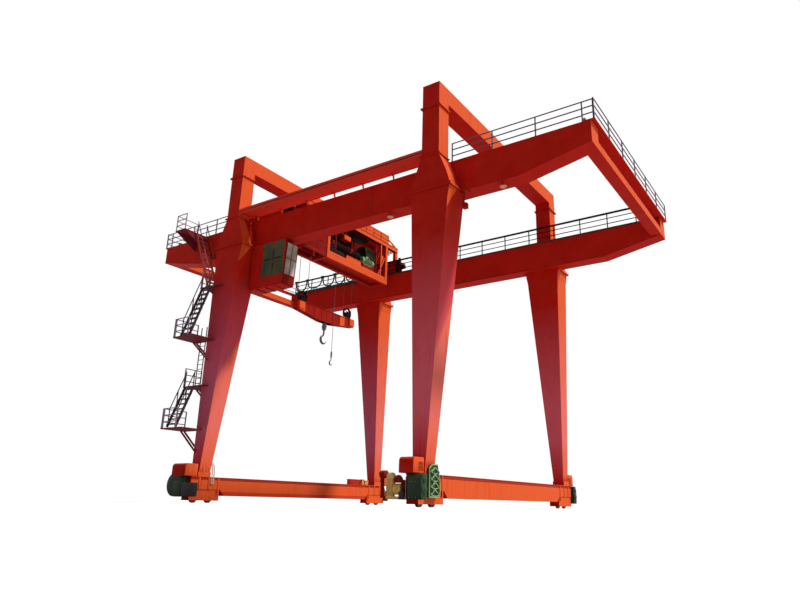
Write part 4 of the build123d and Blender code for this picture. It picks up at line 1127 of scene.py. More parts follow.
def endHoods():
    def covers(shape):
        back, rim, half = hoods["end"] - hoods["back"], hoods["roundFrom"], hoods["half"] - hoods["inset"]
        for sx, sy in corners:
            outline = [(hoods["start"], hoods["low"]), (back, hoods["low"]), (back, rim)]
            for step in range(1, 7):
                turn = step * math.pi / 12
                outline.append((back - hoods["roundOut"] * (1 - math.cos(turn)),
                                rim + hoods["roundUp"] * math.sin(turn)))
            outline.append((hoods["start"], hoods["high"]))
            low, high = sx * frameX - half, sx * frameX + half
            if sy < 0:
                low = hoods["leftStart"] if sx < 0 else hoods["rightStart"]
            addPrism(shape, [(sy * y, z) for y, z in outline], "x", low, high)
    body = makePiece("hoodCovers", "crane", "gantry", covers, bevel=0.03)
    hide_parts("end_hoods")

    def fittings(shape):
        half, radius, z = hoods["handleHalf"], hoods["handleRadius"], hoods["handleZ"]
        for sx, sy in corners:
            x = sx * frameX
            y0, y1 = span(sy, hoods["end"] - 0.035, hoods["end"] - 0.012)
            addBox(shape, (x - hoods["hatchHalf"], y0, hoods["hatch"][0]),
                   (x + hoods["hatchHalf"], y1, hoods["hatch"][1]))
            y0, y1 = span(sy, *hoods["skirt"])
            addBox(shape, (x - hoods["half"], y0, hoods["low"]), (x + hoods["half"], y1, hoods["skirtTop"]))
            root, grip, tip = (sy * (hoods["end"] - depth) for depth in (hoods["back"], 0.012, 0.005))
            for side in (-half, half):
                addBar(shape, (x + side, root, z), (x + side, tip, z), radius, 8)
            addBar(shape, (x - half - 0.01, grip, z), (x + half + 0.01, grip, z), radius, 8)
            for y in hoods["eyes"]:
                addTube(shape, [Vector((x, sy * y, height)) for height in (2.03, 2.035, hoods["high"])],
                        [0.05, 0.05, 0.03], 12, Vector((0, 1, 0)))
    makePiece("hoodFittings", "crane", "shaded", fittings, bevel=0.005)
    for sy, side in ((-1, "Near"), (1, "Far")):
        grow("hoodLouvres" + side, "rows", "crane", "shaded",
             [(sx * (frameX + hoods["half"] - 0.006), sy * hoods["louvreY"], hoods["louvreZ"])
              for sx in (-1, 1)],
             hoods["louvres"])


endHoods()
print("end hoods made")

# Beam ends and leg feet: ribs on the ground beams, gussets on the plinths and pipes at the left beam.
feet = {"plinthTop": 1.624, "footX": 0.307, "beamHalf": 0.336, "lip": 0.055, "ribY": (8.19, 7.56, 6.90),
        "gusset": 0.028, "gussetHeight": 0.30}


def beamEnds():
    def ribs(shape):
        for sx, sy in corners:
            for side in (-1, 1):
                face = sx * frameX + side * feet["beamHalf"]
                low, high = sorted((face - side * 0.01, face + side * 0.026))
                for y in feet["ribY"]:
                    addBox(shape, (low, sy * y - 0.05, 0.72 if y > 6.9 else 0.45),
                           (high, sy * y + 0.05, beamTop - 0.01))
            low, high = sorted((sy * 6.6, sy * 8.74))
            for side in (-1, 1):
                face = sx * frameX + side * feet["beamHalf"]
                addBox(shape, (min(face, face + side * 0.035), low, beamTop - 0.03),
                       (max(face, face + side * 0.035), high, beamTop))
        for sx in (-1, 1):
            for side in (-1, 1):
                face = sx * frameX + side * feet["beamHalf"]
                addBox(shape, (min(face, face + side * 0.022), -6.6, beamTop - 0.024),
                       (max(face, face + side * 0.022), 6.6, beamTop))
    makePiece("beamRibs", "crane", "gantry", ribs, bevel=0.006)

    def gussets(shape):
        top = feet["plinthTop"]
        for sx, sy in corners:
            for side in (-1, 1):
                for y in (7.66, 7.82, 8.03, 8.19):
                    face = sx * frameX + side * (feet["footX"] + 0.015)
                    outer = sx * frameX + side * (feet["footX"] + feet["lip"] - 0.002)
                    outline = [(face, top), (outer, top), (face + side * 0.02, top + feet["gussetHeight"]),
                               (face - side * 0.06, top + feet["gussetHeight"]), (face - side * 0.06, top)]
                    addPrism(shape, outline, "y", sy * y - feet["gusset"] / 2, sy * y + feet["gusset"] / 2)
    makePiece("plinthGussets", "crane", "gantry", gussets)

    def hose(shape):
        x = -frameX + 0.36
        for y in (-7.42, -7.30):
            addTube(shape, [Vector((x, y, 0.98)), Vector((x, y, 1.30)), Vector((x - 0.02, y + 0.05, 1.44)),
                            Vector((x - 0.10, y + 0.10, 1.70)), Vector((x - 0.06, y + 0.02, 1.98)),
                            Vector((x - 0.09, y - 0.10, 2.15))], [0.028] * 6, 10)
        for z in (1.06, 1.22):
            addBox(shape, (x - 0.03, -7.48, z - 0.02), (x + 0.04, -7.24, z + 0.02))
    makePiece("conduitPipes", "crane", "pipe", hose)


beamBox = {"inset": 0.02, "deep": 0.30, "lid": 0.03, "lidHeight": 0.04,
           "places": {"amber": ((6.20, 0.13, 1.72), (6.62, 0.20, 1.66)), "walk": ((5.25, 0.52, 1.70),)}}


def beamBoxes():
    for finish, places in beamBox["places"].items():
        def fill(shape, places=places):
            x0 = -frameX + beamBox["inset"]
            x1, lid = x0 + beamBox["deep"], beamBox["lid"]
            for y, half, top in places:
                addBox(shape, (x0, y - half, beamTop - 0.01), (x1, y + half, top))
                addBox(shape, (x0 - lid, y - half - lid, top),
                       (x1 + lid, y + half + lid, top + beamBox["lidHeight"]))
        makePiece(finish + "BeamBoxes", "crane", finish, fill, bevel=0.02)


beamBoxes()


# Guard at the near right corner: a dark plate, a lattice in front of it and gear wheels between.
guard = {"plate": ((-8.22, 0.40), (-7.46, 0.40), (-7.32, 0.66), (-7.39, 1.20), (-7.55, 1.78), (-7.98, 1.78),
                   (-8.22, 1.60)),
         "frame": ((-8.20, 0.42), (-8.20, 1.60), (-7.98, 1.76), (-7.56, 1.76), (-7.40, 1.20), (-7.33, 0.66),
                   (-7.46, 0.42)),
         "backY": (-8.319, -7.099), "backZ": (0.78, 1.294), "rows": 4, "rowLow": 0.50, "rowPitch": 0.31,
         "latticeY": (-8.06, -7.74, -7.40), "barRadius": 0.034, "gearY": (-7.90, -7.53), "gearLow": 0.56,
         "gearPitch": 0.29, "teeth": 14, "tipRadius": 0.125, "rootRadius": 0.100}


def gearGuard():
    low, high = box["gear_guard"]
    x0, x1 = low.x, high.x

    def backPlate(shape):
        (y0, y1), (z0, z1) = guard["backY"], guard["backZ"]
        addBox(shape, (x0, y0, z0), (x0 + 0.03, y1, z1))
        addPrism(shape, guard["plate"], "x", x1 - 0.15, x1 - 0.05)
    piece = makePiece("gearGuard", "crane", "darkGreen", backPlate, bevel=0.006)
    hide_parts("gear_guard")

    def bars(shape):
        rim = guard["frame"]
        edges = list(zip(rim, rim[1:])) + [(rim[0], rim[-1])]
        left, middle, right = guard["latticeY"]
        for row in range(guard["rows"]):
            z = guard["rowLow"] + row * guard["rowPitch"]
            edges += [((left, z + 0.02), (middle, z + 0.22)), ((middle, z + 0.22), (right, z + 0.02)),
                      ((left, z + 0.02), (middle, z - 0.06)), ((middle, z - 0.06), (right, z + 0.02))]
        for start, end in edges:
            ends = [Vector((x1 - 0.04, *place)) for place in (start, end)]
            addTube(shape, ends, [guard["barRadius"]] * 2, 6)
    makePiece("guardBars", "crane", "lightGreen", bars)

    def gears(shape):
        for row in range(guard["rows"]):
            z = guard["gearLow"] + row * guard["gearPitch"]
            for y in guard["gearY"]:
                ring = []
                for step in range(guard["teeth"] * 2):
                    radius = guard["tipRadius"] if step % 2 else guard["rootRadius"]
                    turn = math.pi * step / guard["teeth"]
                    ring.append((y + math.cos(turn) * radius, z + math.sin(turn) * radius))
                addPrism(shape, ring, "x", x1 - 0.03, x1 - 0.012)
                addLathe(shape, (x1 - 0.02, y, z), (1, 0, 0), ((0, 0.05), (0.018, 0.045)), 12)
    makePiece("gearWheels", "crane", "darkGreen", gears)


beamEnds()
gearGuard()
print("beam ends, feet and gear guard made")

# Trolley frame: side beams with raked near ends, cross beams, a deck plate and low orange rails.
trolley = {"x0": -8.100, "x1": -4.600, "beam": 0.320, "low": 18.970, "high": 19.330, "end": 6.205,
           "leg": 0.300, "carriageTop": 17.799, "rakeY": 5.0, "rakeLow": 18.25, "lip": 0.04, "inset": 0.2,
           "crossY": (2.6, -0.6, -3.4), "crossWidth": 0.22, "tie": (17.90, 18.20), "railHeight": 0.62,
           "rail": 0.055, "railFoot": 0.30, "railNear": 1.30, "railFar": 5.00, "railHalf": 0.03, "posts": 5,
           "postWidth": 0.08, "hatches": (((-6.30, -1.95, 0), (-5.0, 0.2, 0.28)),
                                          ((-7.85, 3.2, 0), (-7.1, 4.7, 0.35)))}
bayPanel = {"back": -6.150, "near": -4.10, "far": -1.95, "low": 15.930, "high": 18.970,
            "frontRibs": ((0, 0.20, 0.04), (0.95, 1.02, 0.03)),
            "backRibs": ((0, 0.24, 0.16), (0.42, 0.50, 0.30), (1.9, 2.0, 0.10), (2.90, 3.04, 0.20)),
            "posts": 4}


def trolleyFrame():
    end, leg, low, high, rake = (trolley[key] for key in ("end", "leg", "low", "high", "rakeY"))

    def frameBeams(shape):
        foot, slope = trolley["carriageTop"], trolley["rakeLow"]
        webs = (((-end, foot), (-end + leg, foot), (-end + leg, slope - 0.1), (-end, slope)),
                ((-end, slope), (-end + leg, slope - 0.1), (-rake - 0.05, low), (-rake + 0.05, high)),
                ((-rake - 0.05, low), (end, low), (end, high), (-rake + 0.05, high)),
                ((end - leg, foot), (end, foot), (end, low), (end - leg, low)))
        flanges = (((-end, slope - 0.03), (-rake + 0.04, high - 0.03), (-rake + 0.05, high), (-end, slope)),
                   ((-rake + 0.04, high - 0.03), (end, high - 0.03), (end, high), (-rake + 0.05, high)))
        for x in (trolley["x0"], trolley["x1"] - trolley["beam"]):
            for outline in webs:
                addPrism(shape, outline, "x", x + trolley["lip"], x + trolley["beam"] - trolley["lip"])
            for outline in flanges:
                addPrism(shape, outline, "x", x, x + trolley["beam"])
            addBox(shape, (x, -rake + 0.05, low), (x + trolley["beam"], end, low + 0.03))
        x0, x1 = trolley["x0"] + trolley["inset"], trolley["x1"] - trolley["inset"]
        for y in (end - trolley["beam"], *trolley["crossY"]):
            addBox(shape, (x0, y, low + 0.04), (x1, y + trolley["crossWidth"], high - 0.05))
        for y in (-end, end - leg):
            addBox(shape, (x0, y, trolley["tie"][0]), (x1, y + leg, trolley["tie"][1]))
        addPrism(shape, [(-end + 0.05, slope - 0.05), (-rake, high - 0.05), (-rake, high - 0.09),
                         (-end + 0.09, slope - 0.09)], "x", x0, x1)
    body = makePiece("trolleyFrame", "trolley", "gantry", frameBeams, bevel=0.010)
    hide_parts("trolley_frame")

    def deck(shape):
        addBox(shape, (trolley["x0"] + 0.25, -rake, high - 0.05),
               (trolley["x1"] - 0.25, end - 0.25, high - 0.002))
        for ends in trolley["hatches"]:
            addBox(shape, *[(x, y, high + z) for x, y, z in ends])
    plate = makePiece("trolleyDeck", "trolley", "shaded", deck, bevel=0.008)
    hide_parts("trolley_deck")

    def rails(shape):
        rail, foot, near, far = (trolley[key] for key in ("rail", "railFoot", "railNear", "railFar"))
        half, wide = trolley["railHalf"], trolley["postWidth"]
        for x in (trolley["x0"] + 0.08, trolley["x1"] - 0.08):
            for height in (trolley["railHeight"], trolley["railHeight"] * 0.5):
                addBox(shape, (x - half, near, high + height - rail), (x + half, far, high + height + rail))
            for step in range(trolley["posts"]):
                y = near + step * (far - near - wide) / (trolley["posts"] - 1)
                addBox(shape, (x - half, y, high), (x + half, y + wide, high + trolley["railHeight"]))
            brace = [(far - 0.04, high + foot), (far + 0.9, high), (far + 0.9, high + 0.10),
                     (far, high + foot + 0.12)]
            addPrism(shape, brace, "x", x - half, x + half)
    fence = makePiece("trolleyRails", "trolley", "gantry", rails)
    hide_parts("trolley_handrails")

    # Near panel of the bay with its ribs and posts, in the painted-shade red, for a side that lies in shade.
    def panel(shape):
        x0, near, far, low, top = (bayPanel[key] for key in ("back", "near", "far", "low", "high"))
        front = trolley["x1"] - 0.04
        addBox(shape, (x0, near, low), (x0 + 0.05, far + 0.01, top))
        addBox(shape, (x0, near, low), (front + 0.02, near + 0.05, top))
        addBox(shape, (front - 0.04, near, low - 0.04), (front, far + 0.01, top))
        for start, end, proud in bayPanel["frontRibs"]:
            addBox(shape, (front - 0.02, near + 0.2, low + start), (front + proud, far - 0.1, low + end))
        for start, end, proud in bayPanel["backRibs"]:
            addBox(shape, (x0 + 0.04, near, low + start), (x0 + 0.05 + proud, far + 0.01, low + end))
        for step in range(bayPanel["posts"]):
            y = near + 0.02 + step * (far - near - 0.10) / (bayPanel["posts"] - 1)
            addBox(shape, (x0 + 0.04, y, low), (x0 + 0.14, y + 0.08, top))
    makePiece("bayNearPanel", "trolley", "paintedShadeRed", panel, bevel=0.008)
    grow("deckTreadBars", "rows", "trolley", "shaded",
         [(x, -rake + 0.15, high - 0.001) for x in (-7.5, -6.9, -4.98 - 0.28)],
         {"Count": 62, "Step": (0, 0.175, 0), "Size": (0.5, 0.02, 0.010)})


trolleyFrame()
print("trolley frame made")

# Hoist machinery in the bay: drum with its rope turns, gearbox, ribbed motor and the parts around them.
hoist = {
    "floor": 16.230, "drumX": -5.375, "drumZ": 17.311, "drumRadius": 0.430, "ropeRadius": 0.024,
    "drumStart": -1.19, "drumEnd": 2.11, "turns": 54.0, "drumRims": ((0, 0.52), (0.05, 0.54), (0.07, 0.54)),
    "gearboxLow": 17.0, "gearboxTop": 18.38, "gearboxHalf": 0.50, "gearbox": (0.25, 1.35),
    "motor": {"shift": 0.46, "y": 2.00, "z": 17.10, "length": 1.30, "radius": 0.27},
    "motorFins": {"Count": 30, "Radius": 0.262, "Fin Height": 0.05, "Fin Length": 0.86, "Thickness": 0.012,
                  "Turn": (math.pi / 2, 0, 0)}}
# Boxes in the bay, placed from the drum's line and the bay's floor.
bayBoxes = {
    "motorSeat": (((0.30, 2.45, 1.07), (0.62, 2.80, 1.23)), ((0.30, 2.15, 0.57), (0.62, 3.10, 0.67))),
    "orange": (((0.50, 0.10, 0), (0.72, 1.75, 0.49)), ((0.46, 0.12, 0.49), (0.74, 1.70, 0.55)),
               ((0.20, -0.10, 1.72), (0.62, 0.62, 2.05)), ((0.22, 0.05, 2.05), (0.30, 0.12, 2.74)),
               ((0.22, 0.42, 2.05), (0.30, 0.49, 2.74)), ((0.615, 4.03, 0), (0.735, 4.16, 2.74)),
               ((0.655, -1.80, -0.01), (0.745, 4.70, 0.24))),
    "paintedShadeRed": (((-0.685, -1.90, 0), (-0.625, 2.20, 2.72)), ((0.30, 2.10, 0), (0.62, 3.40, 0.57)),
               ((0.36, 2.95, 0.57), (0.60, 3.45, 0.79)), ((0.575, -1.05, 0), (0.675, -0.97, 2.74)),
               ((0.575, 3.55, 0), (0.675, 3.63, 2.74))),
    "nearBlack": (((-0.645, -1.66, 0), (-0.505, 1.95, 2.37)), ((0.52, -1.60, 0), (0.70, -0.10, 0.57)),
             ((0.50, -1.50, 0.57), (0.66, -0.9, 0.97)), ((-0.525, -1.6, 2.57), (0.425, 2.9, 2.73))),
    "lamp": (((0.715, 4.95, 2.12), (0.775, 5.10, 2.52)), ((0.715, 4.85, 2.49), (0.775, 5.60, 2.55)))}


def fromDrum(x, y, z):
    return (hoist["drumX"] + x, y, hoist["floor"] + z)


def addBayBoxes(shape, key):
    addBoxes(shape, [[fromDrum(*corner) for corner in ends] for ends in bayBoxes[key]])


def hoistMachines():
    x, z, r = hoist["drumX"], hoist["drumZ"], hoist["drumRadius"]
    motor = hoist["motor"]

    def drum(shape):
        length = hoist["drumEnd"] - hoist["drumStart"]
        profile = [*hoist["drumRims"], (0.08, r), (length - 0.08, r), (length - 0.07, 0.54),
                   (length - 0.05, 0.54), (length, 0.52)]
        addLathe(shape, (x, hoist["drumStart"], z), (0, 1, 0), profile, 36)
        for y in (hoist["drumStart"] - 0.16, hoist["drumEnd"] + 0.16):
            addLathe(shape, (x, y - 0.16, z), (0, 1, 0),
                     ((0, 0.10), (0.03, 0.17), (0.29, 0.17), (0.32, 0.10)), 20)
    body = makePiece("hoistDrum", "trolley", "wound", drum)
    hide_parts("hoist_drum")
    grow("drumRope", "winding", "trolley", "wound", [(x, hoist["drumStart"] + 0.12, z)],
         {"Turns": hoist["turns"], "Drum Radius": r + hoist["ropeRadius"] * 0.8,
          "Rope Radius": hoist["ropeRadius"], "Length": hoist["turns"] * hoist["ropeRadius"] * 2.06},
          angle=60.0)

    def greenCases(shape):
        for y in (hoist["drumStart"] - 0.16, hoist["drumEnd"]):
            outline = [(x - 0.42, hoist["floor"]), (x + 0.42, hoist["floor"]), (x + 0.15, z + 0.23),
                       (x - 0.15, z + 0.23)]
            addPrism(shape, outline, "y", y + 0.02, y + 0.14)
        y0 = hoist["drumEnd"] + 0.16
        half, foot, top = hoist["gearboxHalf"], hoist["gearboxLow"], hoist["gearboxTop"]
        side = [(half, foot), (half, top - 0.43), (half - 0.08, top - 0.18), (half - 0.25, top)]
        outline = [(x - half, foot)] + [(x + reach, z0) for reach, z0 in side]
        outline += [(x - reach, z0) for reach, z0 in reversed(side[1:])]
        start, end = hoist["gearbox"]
        addPrism(shape, outline, "y", y0 + start, y0 + end)
        for z0 in (17.30, 17.90):
            addBox(shape, (x - half - 0.03, y0 + start - 0.02, z0),
                   (x + half + 0.03, y0 + end + 0.02, z0 + 0.05))
        for y in (y0 + 0.50, y0 + 1.10):
            addLathe(shape, (x + 0.49, y, 17.45), (1, 0, 0),
                     ((0, 0.17), (0.04, 0.17), (0.06, 0.10), (0.08, 0.09)), 20)
    body = makePiece("hoistGearbox", "trolley", "blackGreen", greenCases, bevel=0.016)
    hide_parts("hoist_machines")

    def motorBodies(shape):
        length, radius = motor["length"], motor["radius"]
        half = ((0, radius * 0.5), (0.02, radius * 0.95), (0.14 * length, radius),
                (0.16 * length, radius * 0.88))
        rest = ((0.84 * length, radius * 0.88), (0.86 * length, radius), (length - 0.01, radius * 0.95),
                (length, radius * 0.5))
        addLathe(shape, (x + motor["shift"], motor["y"], motor["z"]), (0, 1, 0), half + rest, 24)
        addBayBoxes(shape, "motorSeat")
    body = makePiece("hoistMotors", "trolley", "lightGreen", motorBodies, bevel=0.006)
    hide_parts("hoist_motor")
    grow("hoistMotorFins", "fins", "trolley", "lightGreen",
         [(x + motor["shift"], motor["y"] + motor["length"] / 2, motor["z"])], hoist["motorFins"])

    def orangeParts(shape):
        addBayBoxes(shape, "orange")
        for y in (-1.35, 0.62, 2.6):
            addLathe(shape, (x + 0.60, y, 17.25), (0, 1, 0),
                     ((0, 0.05), (0.01, 0.16), (0.05, 0.16), (0.06, 0.05)), 18)
    makePiece("bayFittings", "trolley", "gantry", orangeParts, bevel=0.008)

    def innerParts(shape):
        addBayBoxes(shape, "paintedShadeRed")
        addBar(shape, fromDrum(0.615, 3.60, 0.97), fromDrum(0.615, 4.05, 2.17), 0.035, 8)
    makePiece("bayInnerParts", "trolley", "paintedShadeRed", innerParts, bevel=0.008)

    # Near-black boxes, bars and roll in the bay: dark parts put where the bay lies in shade, as painted
    # shade.
    def darkParts(shape):
        addBayBoxes(shape, "nearBlack")
        for y in (-0.9, -0.2, 0.5, 1.2):
            addBar(shape, fromDrum(0.425, y, 1.67), fromDrum(0.425, y, 2.52), 0.05, 10)
        addLathe(shape, fromDrum(0.275, 2.75, 1.82), (0, 1, 0),
                 ((0, 0.05), (0.02, 0.26), (0.80, 0.26), (0.84, 0.08)), 20)
    makePiece("bayShadedParts", "trolley", "nearBlack", darkParts, bevel=0.008)

    def lamp(shape):
        addBayBoxes(shape, "lamp")
    makePiece("bayMarkerLamp", "trolley", "lens", lamp, bevel=0.01)


hoistMachines()
print("hoist machinery made")

# Trolley travel drives on both rails: gear case, ribbed motor and brake.
trolleyGear = {"caseX": -4.600, "caseEnd": -4.180, "motorY": 6.065, "motorZ": 17.649}


def trolleyDrives():
    def cases(shape):
        for sy in (-1, 1):
            y0, y1 = sorted((sy * 5.905, sy * 6.235))
            outline = [(trolleyGear["caseX"], 17.30), (trolleyGear["caseEnd"], 17.30),
                       (trolleyGear["caseEnd"], 18.05), (trolleyGear["caseEnd"] - 0.12, 18.20),
                       (trolleyGear["caseX"], 18.20)]
            addPrism(shape, outline, "y", y0, y1)
            addLathe(shape, (trolleyGear["caseEnd"] - 0.2, sy * 5.91, 17.75), (0, -sy, 0),
                     ((0, 0.20), (0.05, 0.20), (0.07, 0.12), (0.10, 0.10)), 20)
            addLathe(shape, (trolleyGear["caseEnd"] - 0.01, sy * trolleyGear["motorY"],
                             trolleyGear["motorZ"]), (1, 0, 0),
                     ((0, 0.16), (0.05, 0.165), (0.06, 0.14), (0.30, 0.14), (0.31, 0.165), (0.37, 0.165),
                      (0.395, 0.08)),
                     22)
            addLathe(shape, (-4.35, sy * trolleyGear["motorY"], 18.18), (0, 0, 1),
                     ((0, 0.15), (0.10, 0.15), (0.12, 0.10), (0.22, 0.09), (0.24, 0.03)), 18)
    body = makePiece("trolleyDrives", "trolley", "nearBlack", cases, bevel=0.010)
    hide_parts("trolley_drives")
    grow("trolleyMotorFins", "fins", "trolley", "nearBlack",
         [(-4.00, sy * trolleyGear["motorY"], trolleyGear["motorZ"]) for sy in (-1, 1)],
         {"Count": 22, "Radius": 0.155, "Fin Height": 0.034, "Fin Length": 0.24, "Thickness": 0.010,
          "Turn": alongX})

    def covers(shape):
        for sy in (-1, 1):
            y0, y1 = sorted((sy * 5.92, sy * 6.22))
            addBox(shape, (-4.10, y0, 17.82), (-3.86, y1, 17.96))
            addLathe(shape, (-4.35, sy * trolleyGear["motorY"], 18.42), (0, 0, 1),
                     ((0, 0.12), (0.04, 0.12), (0.05, 0.06)), 16)
    makePiece("driveCovers", "trolley", "pink", covers, bevel=0.02)


trolleyDrives()
print("trolley drives made")

# Driver's cab: frames and mullions round the panes, inner walls, seat, consoles, roof rim and a hand grip.
cab = {"backX": -6.180, "frontX": -3.280, "rake": 0.170, "outer": -6.950, "inner": -5.950, "floor": 12.400,
       "roof": 14.950, "sill": 13.000, "head": 14.760, "paneX": (-5.130, -3.610), "frame": 0.055,
       "proud": 0.018, "pane": 0.012, "lightColumns": ((-5.22, -4.36), (-4.28, -3.44)),
       "lightRows": ((12.98, 14.02), (14.10, 15.16)), "sideColumns": ((-6.87, -6.48), (-6.42, -6.05)),
       "sideRows": ((12.98, 13.92), (14.00, 14.92))}
cabRoom = {"seatX": -4.75, "seatY": -6.45, "seatHalf": 0.23, "deck": 12.52,
           "seat": ((-0.22, 0.22, 13.00, 13.10), (-0.26, -0.16, 13.08, 13.72)),
           "consoleY": (-6.80, -6.20), "consoleTop": 13.18, "consoleX": (0.05, 0.55), "consoleWidth": 0.14,
           "desk": ((-3.78, -6.70, 12.52), (-3.58, -6.20, 13.06)),
           "linings": (((-6.10, -6.88, 12.54), (-5.25, -6.83, 14.86)),
                       ((-5.30, -6.86, 12.54), (-5.24, -6.04, 14.86)))}


def driverCab():
    def frontAt(z):
        return cab["frontX"] - cab["rake"] * (cab["roof"] - z) / (cab["roof"] - cab["floor"])

    def frames(shape):
        x0, x1 = cab["paneX"]
        low, high, wide = cab["sill"], cab["head"], cab["frame"]
        middle = (low + high) / 2
        for y, way in ((cab["outer"], -1), (cab["inner"], 1)):
            y0, y1 = sorted((y - way * 0.01, y + way * cab["proud"]))
            for z in (low - wide / 2, middle, high - wide / 2):
                addBox(shape, (x0 - wide, y0, z), (x1, y1, z + wide))
            for x in (x0 - wide, (x0 + x1) / 2 - 0.06):
                addBox(shape, (x, y0, low), (x + wide, y1, high))
            addPrism(shape, [(x1 - 0.10, low), (x1 - 0.04, low), (x1 + 0.05, high), (x1 - 0.01, high)], "y",
                     y0, y1)
        for z in (low - wide / 2, middle, high - wide / 2):
            front = frontAt(z)
            addBox(shape, (front - 0.07, cab["outer"] + 0.10, z),
                   (front + cab["proud"], cab["inner"] - 0.10, z + wide))
        for y in (cab["outer"] + 0.10, (cab["outer"] + cab["inner"]) / 2 - 0.02, cab["inner"] - 0.14):
            addPrism(shape, [(frontAt(low) - 0.07, low), (frontAt(low) + cab["proud"], low),
                             (frontAt(high) + cab["proud"], high), (frontAt(high) - 0.07, high)], "y", y,
                             y + 0.04)
    makePiece("cabFrames", "crane", "shaded", frames, bevel=0.006)

    def shell(shape):
        x0, x1, y0, y1 = cab["backX"], cab["frontX"], cab["outer"], cab["inner"]
        addBox(shape, (x0 + 0.02, y0 + 0.02, cab["roof"]), (x1 - 0.02, y1 - 0.02, cab["roof"] + 0.05))
        addBox(shape, (x0 + 0.10, y0 + 0.10, cab["roof"] + 0.05),
               (x1 - 0.5, -girderOuter, girderBottom - 0.02))
        addBox(shape, (x0 + 0.04, y0 - 0.016, cab["roof"] - 0.06),
               (x1 - 0.06, y0 + 0.05, girderBottom - 0.03))
        addBox(shape, (x0 + 0.02, y0 + 0.02, cab["floor"] - 0.045),
               (x1 - cab["rake"] - 0.03, y1 - 0.02, cab["floor"]))
        for x in (x0 + 0.5, x0 + 1.25, x0 + 2.0):
            addBox(shape, (x, y0 + 0.06, cab["floor"] - 0.09), (x + 0.07, y1 - 0.06, cab["floor"] - 0.04))
        addBox(shape, (x0 + 0.12, y0 - 0.012, cab["floor"] + 0.20),
               (x0 + 0.82, y0 + 0.01, cab["roof"] - 0.22))
        addBar(shape, (x0 + 0.74, y0 - 0.035, 13.45), (x0 + 0.74, y0 - 0.035, 13.80), 0.014, 8)
    makePiece("cabShellParts", "crane", "shaded", shell, bevel=0.012)

    def inside(shape):
        x, y, half, deck = (cabRoom[key] for key in ("seatX", "seatY", "seatHalf", "deck"))
        for back, front, low, high in cabRoom["seat"]:
            addBox(shape, (x + back, y - half, low), (x + front, y + half, high))
        addBar(shape, (x, y, deck), (x, y, 13.02), 0.06, 12)
        top, wide, (back, front) = cabRoom["consoleTop"], cabRoom["consoleWidth"], cabRoom["consoleX"]
        for side in cabRoom["consoleY"]:
            addBox(shape, (x + back, side, deck), (x + front, side + wide, top))
        addBox(shape, *cabRoom["desk"])
        for side in cabRoom["consoleY"]:
            addBar(shape, (x + 0.30, side + 0.07, top), (x + 0.34, side + 0.07, top + 0.16), 0.012, 8)
        addBoxes(shape, cabRoom["linings"])
    makePiece("cabInterior", "crane", "interior", inside, bevel=0.015)

    def glass(shape):
        x0, x1 = cab["paneX"]
        low, high = cab["sill"], cab["head"]
        for y in (cab["outer"] + 0.034, cab["inner"] - 0.046):
            addPrism(shape, [(x0, low), (x1 - 0.10, low), (x1, high), (x0, high)], "y", y, y + 0.010)
        y0, y1 = cab["outer"] + 0.13, cab["inner"] - 0.13
        addPrism(shape, [(frontAt(low) - 0.034, low), (frontAt(high) - 0.034, high),
                         (frontAt(high) - 0.024, high), (frontAt(low) - 0.024, low)], "y", y0, y1)
        y, thick = cab["outer"] - cab["proud"] - 0.004, cab["pane"]
        for xLow, xHigh in cab["lightColumns"]:
            for zLow, zHigh in cab["lightRows"]:
                addBox(shape, (xLow, y, zLow), (xHigh, y + thick, zHigh))
        for zLow, zHigh in cab["sideRows"]:
            for yLow, yHigh in cab["sideColumns"]:
                low, high = (frontAt(z) + cab["proud"] + 0.004 for z in (zLow, zHigh))
                addPrism(shape, [(low, zLow), (low + thick, zLow), (high + thick, zHigh), (high, zHigh)],
                         "y", yLow, yHigh)
    panes = makePiece("cabPanes", "crane", "glass", glass)
    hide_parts("cab_glass")


driverCab()
print("cab dressed")

# Ropes: the solids' ropes cut into short lengths.
ropes = {"pieces": 26, "main": ("main_ropes", "main_hook", 19.28), "aux": ("aux_rope", "aux_hook", 16.18),
         "grip": 0.02}


def hoistRopes():
    for key in ("main", "aux"):
        node, body, top = ropes[key]
        shape = bmesh.new()
        shape.from_mesh(bpy.data.objects[node].data)
        low = min(vert.co.z for vert in shape.verts)
        for step in range(1, ropes["pieces"]):
            level = low + (top - low) * step / ropes["pieces"]
            bmesh.ops.bisect_plane(shape, geom=shape.verts[:] + shape.edges[:] + shape.faces[:],
                                   plane_co=(0, 0, level), plane_no=(0, 0, 1))
        mesh = bpy.data.meshes.new(key + "HoistRopes")
        shape.to_mesh(mesh)
        shape.free()
        piece = bpy.data.objects.new(key + "HoistRopes", mesh)
        scene.collection.objects.link(piece)
        mesh.materials.append(look["rope"])
        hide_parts(node)
        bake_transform(piece)


hoistRopes()
print("hoist ropes cut into short lengths")

# Lifting beam: flange edges and stiffeners, and grooved spoked sheaves between their side plates.
lifting = {"x": -6.350, "half": 0.200, "midY": 0.150, "halfLength": 2.920, "top": 12.900, "endDepth": 0.560,
           "midDepth": 0.880, "sheaveZ": 13.287, "sheaveRadius": 0.430, "sheaveReach": 2.330, "spokes": 6}


